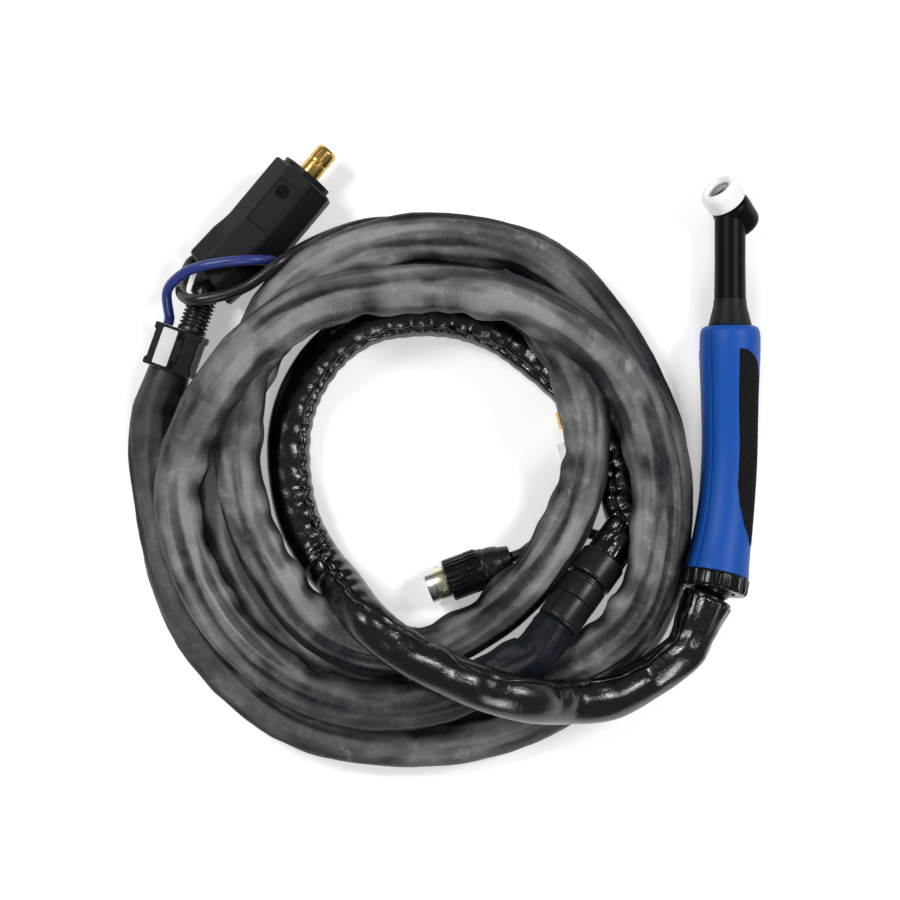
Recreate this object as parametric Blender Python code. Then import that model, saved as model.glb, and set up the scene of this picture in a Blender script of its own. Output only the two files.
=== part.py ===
"""TIG torch with its coiled cable set: torch head, neck, handle with ball joint, leather cover, coupler,
coiled outer sheath, strain relief, power plug, control plug and gas fitting.

Metres, +Z up. The torch lies along +Y on the ground plane z = 0, and the origin is below its middle.
"""

import math

import bmesh
import bpy
from mathutils import Matrix, Vector

# ---------------------------------------------------------------- clearances and finish of the solids
GAP = 0.0003  # clearance between touching pieces
FIT = 0.0003  # radial clearance of a piece inside another
OVERCUT = 0.002  # how far a cutter runs past the surface that it opens
SEGMENTS = 26  # sides of a large turned piece
SMALL_SEGMENTS = 16

# where the torch lies: front of the handle, on the handle's axis
BALL_LEFT = 0.0042691  # where the centre of the ball joint stands in the frame
BALL_FRONT = 0.1086337
BALL_HEIGHT = 0.0275866
BALL_SPOT = (-BALL_LEFT, -BALL_FRONT, BALL_HEIGHT)
TORCH_ROLL = math.radians(48)  # the nozzle leans this far from straight up

# ---------------------------------------------------------------- head and neck
HEAD_REACH = 0.0706  # handle front to the head's axis
HEAD_ANGLE = math.radians(48.2)  # nozzle axis against the neck's axis
HEAD_RADIUS = 0.0115
HEAD_BACK = 0.015
HEAD_FRONT = 0.0035
HEAD_ROUND = 0.003
HEAD_BACK_LIP = 0.0015
BACK_MOUTH = 0.0062
CORE_RADIUS = 0.0081
CORE_BORE = 0.005
CORE_NOSE = 0.0041  # how far the core stands out of the cover
RING_RADIUS = 0.01195
RING_HEIGHT = 0.012
RING_BORE = 0.00725
RING_TIP_RADIUS = 0.0095
RING_ROUND = 0.0028
NECK_RADIUS = 0.00905
NECK_REAR_RADIUS = 0.0094
NECK_CONE_LENGTH = 0.0121
NECK_CONE_RADIUS = 0.0124
NECK_SPIGOT_RADIUS = 0.0104
NECK_SPIGOT_LENGTH = 0.0145
NECK_FLANGE_RADIUS = 0.0130
NECK_FLANGE_WIDTH = 0.0042
PIPE_RADIUS = 0.005
PIPE_BORE = 0.0034
PIPE_REAR = 0.022
SLEEVE_RADIUS = 0.007
SLEEVE_LENGTH = 0.017
SOCKET_DEPTH = 0.0078
GAS_HOLE = 0.0025

# ---------------------------------------------------------------- handle
HANDLE_LENGTH = 0.1467
HANDLE_BEND_START = 0.061
HANDLE_REAR = 0.0097  # its last part is straight
HANDLE_BEND_END = HANDLE_LENGTH - HANDLE_REAR
HANDLE_BEND_RADIUS = 0.270
HANDLE_FRONT_FORM = (  # distance from the front along the curved axis, radius
    (0.0000, 0.0148),
    (0.0010, 0.0163),
    (0.0035, 0.0174),
    (0.0090, 0.0178),
    (0.0200, 0.0176),
    (0.0400, 0.0168),
    (0.0600, 0.0163),
    (0.0800, 0.0162),
)
HANDLE_REAR_FORM = (  # distance ahead of the rear, radius
    (0.0487, 0.0163),
    (0.0317, 0.0167),
    (0.0187, 0.0173),
    (0.0087, 0.0182),
    (0.0027, 0.0190),
)
HANDLE_FORM = (*HANDLE_FRONT_FORM, *[(HANDLE_LENGTH - ahead, radius) for ahead, radius in HANDLE_REAR_FORM])
HANDLE_END_RADIUS = 0.0192
HANDLE_WALL = 0.0024
HANDLE_FRONT_WALL = 0.004
HANDLE_SIDES = 24
HANDLE_SPIGOT_LENGTH = 0.0077
HANDLE_SPIGOT_RADIUS = 0.0177
SHOULDER_START = HANDLE_LENGTH - HANDLE_REAR
SHOULDER_BORE = 0.0128

# soft grips: their outline in three runs of (distance, height from the handle's middle)
GRIP_LOWER_FRONT = (  # from the handle's front
    (0.0137, 0.0085),
    (0.0142, 0.0045),
    (0.0175, -0.0010),
    (0.0225, -0.0055),
    (0.0300, -0.0078),
    (0.0500, -0.0082),
    (0.0800, -0.0084),
)
GRIP_REAR = (  # ahead of the handle's rear
    (0.0407, -0.0087),
    (0.0192, -0.0092),
    (0.0207, -0.0068),
    (0.0297, 0.0010),
    (0.0407, 0.0052),
    (0.0527, 0.0071),
)
GRIP_UPPER_FRONT = (  # from the handle's front
    (0.0700, 0.0071),
    (0.0410, 0.0080),
)
GRIP_OUTLINE = (
    *GRIP_LOWER_FRONT,
    *[(HANDLE_LENGTH - ahead, height) for ahead, height in GRIP_REAR],
    *GRIP_UPPER_FRONT,
)
GRIP_DEPTH = 0.0012
GRIP_PROUD = 0.0003
GRIP_FLOOR = 0.003  # the grip's outline is cut from here outwards
GRIP_REACH = 0.025

# ---------------------------------------------------------------- trigger, on the side away from the nozzle
TRIGGER_PLACE = 0.053  # from the handle's front
TRIGGER_OPENING = (0.038, 0.014)  # length and width of the window in the handle
BUTTON_SIZE = (0.030, 0.0092)
BUTTON_TOP = 0.0194  # from the handle's axis
BUTTON_CROWN = 0.0009
BUTTON_TRAVEL = 0.001
BUTTON_FLANGE = 0.0008  # how far the flange stands out under the frame
BUTTON_FLANGE_HEIGHT = 0.0011
RIM_TOP = 0.0172
RIM_HEIGHT = 0.0036
FRAME_BOTTOM = 0.0109
FRAME_TAB = (0.007, 0.0025)  # width, and length past the window's end
FRAME_TAB_TOP = 0.0125
FRAME_TAB_BOTTOM = 0.0107
SWITCH_WIDTH = 0.0108
SWITCH_LENGTH = 0.020
SWITCH_TOP = 0.0102
SWITCH_BOTTOM = 0.0060
LEG_WIDTH = 0.0010
LEG_LENGTH = 0.012
LEG_BOTTOM = 0.0065
LEAF_SIZE = (0.004, 0.016, 0.0004)

# ---------------------------------------------------------------- inside the handle
LOCK_PLACE = 0.0109
LOCK_RADIUS = 0.002
LOCK_LENGTH = 0.006
CONNECTOR_RADIUS = 0.0070
CONNECTOR_FRONT = 0.0155
CONNECTOR_REAR = 0.037
CONNECTOR_BORE = 0.0022
LEAD_RADIUS = 0.0050
LEAD_START = 0.0290
LEAD_SHORT = 0.0020  # the lead ends ahead of the shoulder
LEAD_END = SHOULDER_START - LEAD_SHORT

# ---------------------------------------------------------------- ball joint at the handle's rear
BALL_BEHIND = 0.0047  # behind the handle's shells
BALL_PLACE = HANDLE_LENGTH + BALL_BEHIND  # from the handle's front, along its axis
BALL_RADIUS = 0.0125
BALL_BORE = 0.0063
CUP_RADIUS = 0.0153
CUP_FRONT = 0.009
CUP_REAR = 0.0036
TAIL_RADIUS = 0.0087
CUFF_AXIS = (-0.4015, -0.9034, 0.1506)
CUFF_START = 0.0096
CUFF_RIM = 0.0029
CUFF_RADIUS = 0.0143
CUFF_END = 0.0180
NUT_RADIUS = 0.0200
NUT_REAR = 0.0054
NUT_LIP_RADIUS = 0.0132
NUT_FLUTES = 20
NUT_FLUTE_DEPTH = 0.0008
NUT_CHAMFER = 0.0008

# ---------------------------------------------------------------- leather cover, from the cuff to the coupler
COVER_RADIUS = 0.0120
COVER_SIDES = 3  # bevel resolution
COVER_ROUTE = (
    (-0.0435, -0.1651, 0.0275),
    (-0.0665, -0.1751, 0.0370),
    (-0.0915, -0.1761, 0.0450),
    (-0.1135, -0.1721, 0.0650),
    (-0.1375, -0.1651, 0.0715),
    (-0.1625, -0.1561, 0.0615),
    (-0.1865, -0.1441, 0.0550),
    (-0.2065, -0.1281, 0.0530),
    (-0.2215, -0.1111, 0.0295),
    (-0.2355, -0.0961, 0.0130),
    (-0.2475, -0.0731, 0.0130),
    (-0.2535, -0.0471, 0.0120),
    (-0.2535, -0.0191, 0.0120),
    (-0.2455, 0.0059, 0.0120),
    (-0.2295, 0.0279, 0.0120),
    (-0.2065, 0.0429, 0.0120),
    (-0.1805, 0.0479, 0.0120),
    (-0.1535, 0.0469, 0.0120),
    (-0.1285, 0.0379, 0.0125),
    (-0.1065, 0.0219, 0.0190),
    (-0.0865, 0.0039, 0.0200),
    (-0.0685, -0.0161, 0.0155),
    (-0.0585, -0.0411, 0.0125),
    (-0.0565, -0.0621, 0.0155),
)

# ---------------------------------------------------------------- coupler between cover and sheath
COUPLER_TOP = (-0.0685, -0.0951, 0.0275)
COUPLER_AXIS = (0.587, 0.755, -0.292)  # from its lower to its upper end
COUPLER_RADIUS = 0.0130
COUPLER_CAP_RADIUS = 0.0138
COUPLER_CAP = 0.0165
COUPLER_BODY = 0.0150
COUPLER_TAIL = 0.0165
COUPLER_SPIGOT_RADIUS = 0.0080
COUPLER_SPIGOT = 0.0070
COUPLER_BORE = 0.0055
COUPLER_EDGE = 0.0012
COUPLER_GROOVE = 0.0005

# ---------------------------------------------------------------- outer sheath: a heap of loops
SHEATH_RADIUS = 0.01225
COIL_CENTRE = (-0.1805, -0.0561)
COIL_FIRST_ANGLE = 180
COIL_STATIONS_PER_TURN = 12
COIL_POINTS_PER_STATION = 2
COIL_TURNS = (  # radius and height of the middle at each twelfth of a turn
    (
        (0.1520, 0.0125), (0.1520, 0.0125), (0.1540, 0.0125), (0.1500, 0.0125),
        (0.1520, 0.0125), (0.1570, 0.0125), (0.1520, 0.0130), (0.1495, 0.0150),
        (0.1535, 0.0330), (0.1465, 0.0405), (0.1370, 0.0370), (0.1125, 0.0380),
    ),
    (
        (0.0990, 0.0320), (0.0930, 0.0305), (0.0955, 0.0330), (0.0935, 0.0295),
        (0.0870, 0.0175), (0.0865, 0.0310), (0.0980, 0.0215), (0.1130, 0.0475),
        (0.1265, 0.0320), (0.1320, 0.0145), (0.1280, 0.0125), (0.1190, 0.0125),
    ),
    (
        (0.1150, 0.0125), (0.1110, 0.0125), (0.1105, 0.0125), (0.1125, 0.0125),
        (0.1280, 0.0215), (0.1450, 0.0415), (0.1415, 0.0410), (0.1350, 0.0640),
        (0.1235, 0.0640), (0.1180, 0.0410), (0.1200, 0.0605), (0.1240, 0.0620),
    ),
    (
        (0.1350, 0.0365), (0.1340, 0.0315), (0.1320, 0.0270), (0.1230, 0.0365),
    ),
)
LEAST_GAP = 0.0004  # least distance that the sheath keeps to itself

# ---------------------------------------------------------------- strain relief
RELIEF_PLACE = (-0.3206, 0.0272, 0.0)
RELIEF_YAW = math.radians(-19.4)
RELIEF_SIZE = (0.029, 0.0255, 0.027)
RELIEF_WAIST = 0.0012
RELIEF_FLANGE = 0.004
RELIEF_EDGE = 0.0008
RELIEF_SPLIT = 0.0135
GAS_EXIT = (-0.009, 0.018)  # across the block and above the ground
POWER_EXIT = (0.005, 0.0155)
CONTROL_EXIT = (0.005, 0.0034)
RELIEF_WINDOW = (0.008, 0.0065, 0.0009)
RELIEF_WINDOW_PLACES = ((0.0080, 0.0052), (0.0080, -0.0052))
RELIEF_SCREW_PLACES = (("strain_screw_front", 0.0020, 0.0088), ("strain_screw_rear", 0.0020, -0.0088))
SCREW_HEAD_RADIUS = 0.0023
SCREW_HEAD_HEIGHT = 0.0020
SCREW_SHANK_RADIUS = 0.0012
SCREW_BOTTOM = 0.0060
SCREW_SLOT = 0.0007

# ---------------------------------------------------------------- power plug and its cable
PLUG_FRONT = (-0.2443, 0.1277, 0.0197)
PLUG_YAW = math.atan2(0.767, 0.641)
PLUG_ACROSS = 0.0393
PLUG_KINK = 0.0437
PLUG_TAIL = (0.0804, 0.0045)  # rear centre: behind the front, and to the left
PLUG_TAIL_SIZE = (0.0376, 0.0300)
PLUG_TAIL_RISE = 0.0075  # the tail's underside stands this far off the ground
PLUG_TAIL_TURN = math.radians(14.6)
PLUG_RISE_START = 0.0500
PLUG_RISE_END = 0.0575
PLUG_EDGE = 0.0010
PANEL_SIZE = (0.0310, 0.0136, 0.0006)
PANEL_PLACE = (-0.0240, 0.0011)
BADGE_RADIUS = 0.0042
BADGE_DEPTH = 0.0005
BADGE_PLACE = (-0.0148, 0.0018)
DISC_RADIUS = 0.0160
DISC_PROUD = 0.0035
DISC_SPIGOT_RADIUS = 0.0120
DISC_SPIGOT = 0.0060
PIN_RADIUS = 0.0065
PIN_REACH = 0.0225
PIN_ROOT = 0.0040
PIN_CHAMFER = 0.0012
PIN_KEY = (0.0040, 0.0030, 0.0018)
PIN_KEY_PLACE = 0.0140
POWER_CABLE_RADIUS = 0.0057
POWER_BORE = 0.0060
POWER_CABLE_DEPTH = 0.0080
BOOT_RADIUS = 0.0085
BOOT_NECK_RADIUS = 0.0076
BOOT_RIBS = 6
BOOT_END = 0.0030
BOOT_LENGTH = 0.0270
COLLAR_RADIUS = 0.0084
COLLAR_LENGTH = 0.0170

# ---------------------------------------------------------------- control plug
CONTROL_PLUG_PLACE = (-0.1713, -0.1135, 0.0129)
CONTROL_PLUG_AXIS = (-0.937, -0.349, 0.0)
BAYONET_RADIUS = 0.0091
BAYONET_BORE = 0.0076
BAYONET_RIM = 0.0015
BAYONET_LENGTH = 0.0205
RING_TURN_RADIUS = 0.0127
RING_FRONT = 0.0124
RING_REAR = 0.0344
RING_GRIP = 0.0150
RING_FLUTES = 20
RING_FLUTE_DEPTH = 0.0005
RING_CHAMFER = 0.0006
INSERT_RADIUS = 0.0073
INSERT_FRONT = 0.0095
INSERT_REAR = 0.0335
INSERT_SPIGOT_RADIUS = 0.0055
INSERT_SPIGOT = 0.0040
CONTACT_RADIUS = 0.0006
CONTACT_CIRCLE = 0.0042
CONTACT_LENGTH = 0.0040
CONTACTS = 5
SHELL_RADIUS = 0.0105
SHELL_REAR_RADIUS = 0.0085
SHELL_LENGTH = 0.0113
SHELL_GROOVE = 0.0006
GLAND_RADIUS = 0.0080
GLAND_REAR_RADIUS = 0.0062
GLAND_LENGTH = 0.0060
GLAND_SIDES = 6

# ---------------------------------------------------------------- control cable, by hand along its way
CONTROL_RADIUS = 0.00325
CONTROL_ROUTE = (
    (-0.3078, 0.0489, 0.0034),
    (-0.3055, 0.0590, 0.0034),
    (-0.3038, 0.0675, 0.0034),
    (-0.3030, 0.0745, 0.0034),
    (-0.3043, 0.0807, 0.0034),
    (-0.3088, 0.0832, 0.0034),
    (-0.3132, 0.0805, 0.0052),
    (-0.3150, 0.0755, 0.0095),
    (-0.3158, 0.0695, 0.0165),
    (-0.3160, 0.0634, 0.0250),
    (-0.3138, 0.0583, 0.0340),
    (-0.3082, 0.0547, 0.0410),
    (-0.3019, 0.0547, 0.0445),
    (-0.2943, 0.0557, 0.0455),
    (-0.2845, 0.0583, 0.0455),
    (-0.2745, 0.0626, 0.0450),
    (-0.2645, 0.0695, 0.0448),
    (-0.2558, 0.0770, 0.0430),
    (-0.2460, 0.0846, 0.0340),
    (-0.2351, 0.0925, 0.0200),
    (-0.2220, 0.0995, 0.0085),
    (-0.2063, 0.1043, 0.0033),
    (-0.1884, 0.1049, 0.0033),
    (-0.1725, 0.1039, 0.0033),
    (-0.1555, 0.1009, 0.0033),
    (-0.1405, 0.0934, 0.0033),
    (-0.1255, 0.0859, 0.0033),
    (-0.1045, 0.0759, 0.0033),
    (-0.0905, 0.0559, 0.0033),
    (-0.0785, 0.0349, 0.0033),
    (-0.0655, 0.0139, 0.0033),
    (-0.0530, -0.0061, 0.0033),
    (-0.0480, -0.0261, 0.0033),
    (-0.0448, -0.0461, 0.0033),
    (-0.0445, -0.0631, 0.0033),
    (-0.0525, -0.0781, 0.0033),
    (-0.0645, -0.0831, 0.0033),
    (-0.0775, -0.0811, 0.0033),
    (-0.0905, -0.0801, 0.0036),
    (-0.1035, -0.0841, 0.0070),
)

# ---------------------------------------------------------------- gas hose, by hand along its way
GAS_RADIUS = 0.0030
GAS_ROUTE = (
    (-0.3243, 0.0520, 0.0205),
    (-0.3245, 0.0576, 0.0240),
    (-0.3224, 0.0633, 0.0285),
    (-0.3170, 0.0682, 0.0330),
    (-0.3102, 0.0717, 0.0380),
    (-0.3007, 0.0742, 0.0425),
    (-0.2895, 0.0760, 0.0445),
    (-0.2786, 0.0771, 0.0450),
    (-0.2698, 0.0777, 0.0428),
    (-0.2630, 0.0780, 0.0370),
    (-0.2583, 0.0776, 0.0310),
    (-0.2547, 0.0770, 0.0230),
    (-0.2505, 0.0768, 0.0150),
    (-0.2455, 0.0770, 0.0095),
    (-0.2405, 0.0774, 0.0060),
    (-0.2305, 0.0794, 0.0033),
    (-0.2175, 0.0829, 0.0031),
    (-0.1935, 0.0874, 0.0031),
    (-0.1685, 0.0874, 0.0031),
    (-0.1440, 0.0834, 0.0031),
    (-0.1195, 0.0744, 0.0031),
    (-0.1065, 0.0599, 0.0031),
    (-0.1025, 0.0459, 0.0031),
    (-0.1045, 0.0339, 0.0031),
    (-0.1055, 0.0219, 0.0031),
    (-0.1005, 0.0129, 0.0031),
    (-0.0960, 0.0029, 0.0033),
)
FITTING_PLACE = (-0.0915, -0.0081, 0.0073)
FITTING_AXIS = (0.240, -0.971, 0.0)
FERRULE_RADIUS = 0.0043
FERRULE_LENGTH = 0.0090
NIPPLE_RADIUS = 0.0030
NIPPLE_BORE = 0.0015
NIPPLE_LENGTH = 0.0150
NIPPLE_HEAD_RADIUS = 0.0046
NIPPLE_HEAD = 0.0030
UNION_ACROSS = 0.0140
UNION_LENGTH = 0.0110
UNION_LIP = 0.0020
UNION_BORE = 0.0052


# ---------------------------------------------------------------- finishes
def finish(name, colour, roughness, metallic=0.0):
    """A plain material, made once for each name."""
    made = bpy.data.materials.get(name)
    if made is None:
        made = bpy.data.materials.new(name)
        made.use_nodes = True
        shader = made.node_tree.nodes["Principled BSDF"]
        shader.inputs["Base Color"].default_value = (*colour, 1.0)
        shader.inputs["Roughness"].default_value = roughness
        shader.inputs["Metallic"].default_value = metallic
        made.diffuse_color = (*colour, 1.0)
    return made


def black_plastic():
    return finish("black_plastic", (0.012, 0.012, 0.014), 0.45)


def gloss_black():
    return finish("gloss_black", (0.010, 0.010, 0.011), 0.22)


def blue_plastic():
    return finish("blue_plastic", (0.012, 0.090, 0.400), 0.35)


def soft_grip():
    return finish("soft_grip", (0.030, 0.026, 0.024), 0.75)


def white_ceramic():
    return finish("white_ceramic", (0.80, 0.80, 0.78), 0.35)


def brass():
    return finish("brass", (0.75, 0.50, 0.15), 0.30, 1.0)


def copper():
    return finish("copper", (0.80, 0.42, 0.28), 0.30, 1.0)


def nickel():
    return finish("nickel", (0.62, 0.64, 0.66), 0.25, 1.0)


def steel():
    return finish("steel", (0.55, 0.56, 0.58), 0.35, 1.0)


def leather():
    return finish("leather", (0.010, 0.010, 0.012), 0.38)


def smoke_sheath():
    return finish("smoke_sheath", (0.110, 0.112, 0.118), 0.40)


def cable_rubber():
    return finish("cable_rubber", (0.016, 0.016, 0.018), 0.40)


def blue_hose():
    return finish("blue_hose", (0.020, 0.045, 0.300), 0.35)


# ---------------------------------------------------------------- shapes
def start_clean():
    """Take away what the file held before."""
    for thing in list(bpy.data.objects):
        bpy.data.objects.remove(thing, do_unlink=True)


def frame(name, place, turn=(0.0, 0.0, 0.0), parent=None):
    """An empty that carries pieces in their own coordinates."""
    made = bpy.data.objects.new(name, None)
    made.location = place
    made.rotation_euler = turn
    made.parent = parent
    bpy.context.scene.collection.objects.link(made)
    return made


def facing(direction, up=(0.0, 0.0, 1.0)):
    """The turn that points local Z along a direction and local Y as near to up as it goes."""
    ahead = Vector(direction).normalized()
    side = Vector(up).cross(ahead).normalized()
    return Matrix((side, ahead.cross(side), ahead)).transposed().to_euler()


def put(name, shape, parent, look=None, place=(0.0, 0.0, 0.0), turn=(0.0, 0.0, 0.0)):
    """An object from a shape. One without a finish is a tool: it shapes others and isn't shown."""
    bmesh.ops.recalc_face_normals(shape, faces=shape.faces)
    mesh = bpy.data.meshes.new(name)
    shape.to_mesh(mesh)
    shape.free()
    made = bpy.data.objects.new(name, mesh)
    made.parent = parent
    made.location = place
    made.rotation_euler = turn
    bpy.context.scene.collection.objects.link(made)
    if look is None:
        made.hide_render = True
        made.display_type = "WIRE"
    else:
        mesh.materials.append(look)
        mesh.shade_smooth()
        mesh.set_sharp_from_angle(angle=math.radians(32))
    return made


def turned_shape(profile, segments=SEGMENTS):
    """A profile of (radius, height) points turned about Z."""
    shape = bmesh.new()
    corners = [shape.verts.new((radius, 0.0, height)) for radius, height in profile]
    edges = [shape.edges.new(pair) for pair in zip(corners, corners[1:])]
    if profile[0][0] > 0.0 or profile[-1][0] > 0.0:
        edges.append(shape.edges.new((corners[-1], corners[0])))
    bmesh.ops.spin(
        shape,
        geom=corners + edges,
        cent=(0.0, 0.0, 0.0),
        axis=(0.0, 0.0, 1.0),
        angle=math.tau,
        steps=segments,
        use_merge=True,
    )
    bmesh.ops.remove_doubles(shape, verts=shape.verts, dist=1e-7)
    return shape


def rod_shape(radius, start, end, segments=SEGMENTS):
    """A round bar along Z."""
    shape = bmesh.new()
    bmesh.ops.create_cone(
        shape,
        cap_ends=True,
        segments=segments,
        radius1=radius,
        radius2=radius,
        depth=end - start,
        matrix=Matrix.Translation((0.0, 0.0, (start + end) / 2)),
    )
    return shape


def lofted_shape(rings):
    """A closed skin through rings of equally many points."""
    shape = bmesh.new()
    corners = [[shape.verts.new(point) for point in ring] for ring in rings]
    for first, second in zip(corners, corners[1:]):
        for i in range(len(first)):
            shape.faces.new((first[i - 1], first[i], second[i], second[i - 1]))
    shape.faces.new(corners[0])
    shape.faces.new(corners[-1])
    return shape


def extruded_shape(outline, low, high):
    """A flat outline of (x, y) points drawn out from one height to another."""
    shape = bmesh.new()
    face = shape.faces.new([shape.verts.new((x, y, low)) for x, y in outline])
    grown = bmesh.ops.extrude_face_region(shape, geom=[face])["geom"]
    moved = [piece for piece in grown if isinstance(piece, bmesh.types.BMVert)]
    bmesh.ops.translate(shape, verts=moved, vec=(0.0, 0.0, high - low))
    return shape


def box_shape(low, high):
    """A box between two opposite corners."""
    return extruded_shape(
        ((low[0], low[1]), (high[0], low[1]), (high[0], high[1]), (low[0], high[1])), low[2], high[2]
    )


def arc(middle, radius, start, end, steps):
    """Points (x, y) along an arc, angles in degrees."""
    angles = [math.radians(start + (end - start) * step / steps) for step in range(steps + 1)]
    return [(middle[0] + radius * math.cos(a), middle[1] + radius * math.sin(a)) for a in angles]


def stadium(length, width, steps=8):
    """A slot's outline along Y, with round ends."""
    radius = width / 2
    straight = (length - width) / 2
    return arc((0.0, straight), radius, 0, 180, steps) + arc((0.0, -straight), radius, 180, 360, steps)


def fluted(radius, depth, count, points=3):
    """A round outline with shallow flutes."""
    steps = count * points
    dips = [radius - depth * (1 - math.cos(math.tau * step / points)) / 2 for step in range(steps)]
    angles = [math.tau * step / steps for step in range(steps)]
    return [(dip * math.cos(a), dip * math.sin(a)) for dip, a in zip(dips, angles)]


def fluted_shape(radius, depth, count, start, end, chamfer):
    """A fluted bar along Z with chamfered ends."""
    levels = (
        (start, radius - chamfer, 0.0),
        (start + chamfer, radius, depth),
        (end - chamfer, radius, depth),
        (end, radius - chamfer, 0.0),
    )
    return lofted_shape(
        [[(x, y, height) for x, y in fluted(reach, dip, count)] for height, reach, dip in levels]
    )


def combine(target, tools, operation):
    """Boolean steps on a piece, one for each tool."""
    for tool in tools:
        step = target.modifiers.new(tool.name, "BOOLEAN")
        step.operation = operation
        step.solver = "EXACT"
        step.object = tool
    return target


def cut(target, *tools):
    return combine(target, tools, "DIFFERENCE")


def fuse(target, *tools):
    return combine(target, tools, "UNION")


def keep(target, *tools):
    return combine(target, tools, "INTERSECT")


def soften(target, width, segments=1):
    """Bevelled edges."""
    step = target.modifiers.new("soft_edges", "BEVEL")
    step.width = width
    step.segments = segments
    step.limit_method = "ANGLE"
    step.angle_limit = math.radians(35)
    return target


def tube(name, points, radius, look, resolution=2, parent=None):
    """A round cord along points."""
    curve = bpy.data.curves.new(name, "CURVE")
    curve.dimensions = "3D"
    curve.bevel_depth = radius
    curve.bevel_resolution = resolution
    curve.use_fill_caps = True
    line = curve.splines.new("POLY")
    line.points.add(len(points) - 1)
    for spot, point in zip(line.points, points):
        spot.co = (*point, 1.0)
    curve.materials.append(look)
    made = bpy.data.objects.new(name, curve)
    made.parent = parent
    bpy.context.scene.collection.objects.link(made)
    return made


def smooth_route(points, steps):
    """A smooth curve through the points, read at equal steps. Its first and last spans stay straight."""
    route = [Vector(point) for point in points]
    read = [route[0]]
    for before, start, end, after in zip(route, route[1:], route[2:], route[3:]):
        for step in range(steps):
            t = step / steps
            bend = 2 * before - 5 * start + 4 * end - after
            twist = 3 * start - before - 3 * end + after
            read.append(start + (t * (end - before) + t * t * bend + t * t * t * twist) / 2)
    return read + [route[-2], route[-1]]


def laid(points, radius):
    """The points, none of them lower than a round cord lies on the ground."""
    return [Vector((point.x, point.y, max(point.z, radius))) for point in points]


def straight_on(place, direction, distance):
    """The point a distance along a direction."""
    return Vector(place) + Vector(direction).normalized() * distance


def least_gap(points, radius, spacing=0.004):
    """Least distance of a round cord to itself, between spots more than three diameters apart along it."""
    spots = []
    for start, end in zip(points, points[1:]):
        count = max(1, round((end - start).length / spacing))
        spots += [start.lerp(end, step / count) for step in range(count)]
    skip = round(6 * radius / spacing) + 1
    return min(
        (spots[i] - spots[j]).length for i in range(len(spots)) for j in range(i + skip, len(spots))
    ) - 2 * radius


# ---------------------------------------------------------------- the torch's own lines
def handle_slope(along):
    """How far the handle's axis has bent at a distance from its front."""
    return (min(max(along, HANDLE_BEND_START), HANDLE_BEND_END) - HANDLE_BEND_START) / HANDLE_BEND_RADIUS


def handle_point(along, across=0.0, height=0.0):
    """A point beside the handle's axis: straight, then bent towards the nozzle side, then straight again."""
    slope = handle_slope(along)
    ahead = min(along, HANDLE_BEND_START)
    behind = max(0.0, along - HANDLE_BEND_END)
    y = -ahead - (HANDLE_BEND_RADIUS - height) * math.sin(slope) - behind * math.cos(slope)
    z = HANDLE_BEND_RADIUS * (1 - math.cos(slope)) + height * math.cos(slope) + behind * math.sin(slope)
    return Vector((across, y, z))


def torch_place():
    """The front of the handle, to a micron, so that its ball joint stays where the cable starts."""
    place = Vector(BALL_SPOT) - Matrix.Rotation(-TORCH_ROLL, 3, "Y") @ handle_point(BALL_PLACE)
    return Vector([round(part, 6) for part in place])


def torch_matrix():
    return Matrix.Translation(torch_place()) @ Matrix.Rotation(-TORCH_ROLL, 4, "Y")


def handle_rear_axis():
    """The direction of the handle's axis at the ball joint, rearwards."""
    slope = handle_slope(BALL_PLACE)
    return Vector((0.0, -math.cos(slope), math.sin(slope)))


def form_radius(along):
    """The handle's radius at a distance from its front."""
    stations = (*HANDLE_FORM, (HANDLE_LENGTH, HANDLE_END_RADIUS))
    for (start, first), (end, second) in zip(stations, stations[1:]):
        if along <= end:
            return first + (second - first) * (along - start) / (end - start)
    return HANDLE_END_RADIUS


def handle_ring(along, radius):
    angles = [math.tau * (step + 0.5) / HANDLE_SIDES for step in range(HANDLE_SIDES)]
    return [handle_point(along, radius * math.cos(a), radius * math.sin(a)) for a in angles]


def handle_loft(stations):
    """A solid along the handle's axis through (distance, radius) stations."""
    return lofted_shape([handle_ring(along, radius) for along, radius in stations])


def handle_stations(offset):
    """The handle's outer form, grown by an offset."""
    form = [(along, radius + offset) for along, radius in HANDLE_FORM]
    return form + [(HANDLE_LENGTH, HANDLE_END_RADIUS + offset)]


def hollow_stations():
    """What is taken out of the handle: neck seat, hollow, shoulder before the ball and seat of the cup."""
    neck_hole = NECK_SPIGOT_RADIUS + FIT
    cup_seat = BALL_PLACE - CUP_FRONT - GAP
    inner = [along for along, _ in HANDLE_FORM if HANDLE_FRONT_WALL < along < SHOULDER_START]
    middle = [HANDLE_FRONT_WALL, *inner, SHOULDER_START]
    return [
        (-OVERCUT, neck_hole),
        (HANDLE_FRONT_WALL, neck_hole),
        *[(along, form_radius(along) - HANDLE_WALL) for along in middle],
        (SHOULDER_START, SHOULDER_BORE),
        (cup_seat, SHOULDER_BORE),
        (cup_seat, CUP_RADIUS + FIT),
        (HANDLE_LENGTH + HANDLE_SPIGOT_LENGTH + OVERCUT, CUP_RADIUS + FIT),
    ]


# ---------------------------------------------------------------- head and neck
def cup_insulator(head):
    """White ring that the gas cup seats against."""
    start = HEAD_FRONT + GAP
    end = start + RING_HEIGHT
    seat = start + CORE_NOSE + FIT
    tip = RING_RADIUS - RING_ROUND
    rounded = arc((tip, end - RING_ROUND), RING_ROUND, 0, 60, 4)
    profile = [
        (CORE_RADIUS + FIT, start),
        (RING_RADIUS, start),
        *rounded,
        (RING_TIP_RADIUS, end),
        (RING_BORE, end),
        (RING_BORE, seat),
        (CORE_RADIUS + FIT, seat),
    ]
    return put("cup_insulator", turned_shape(profile), head, white_ceramic())


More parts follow.
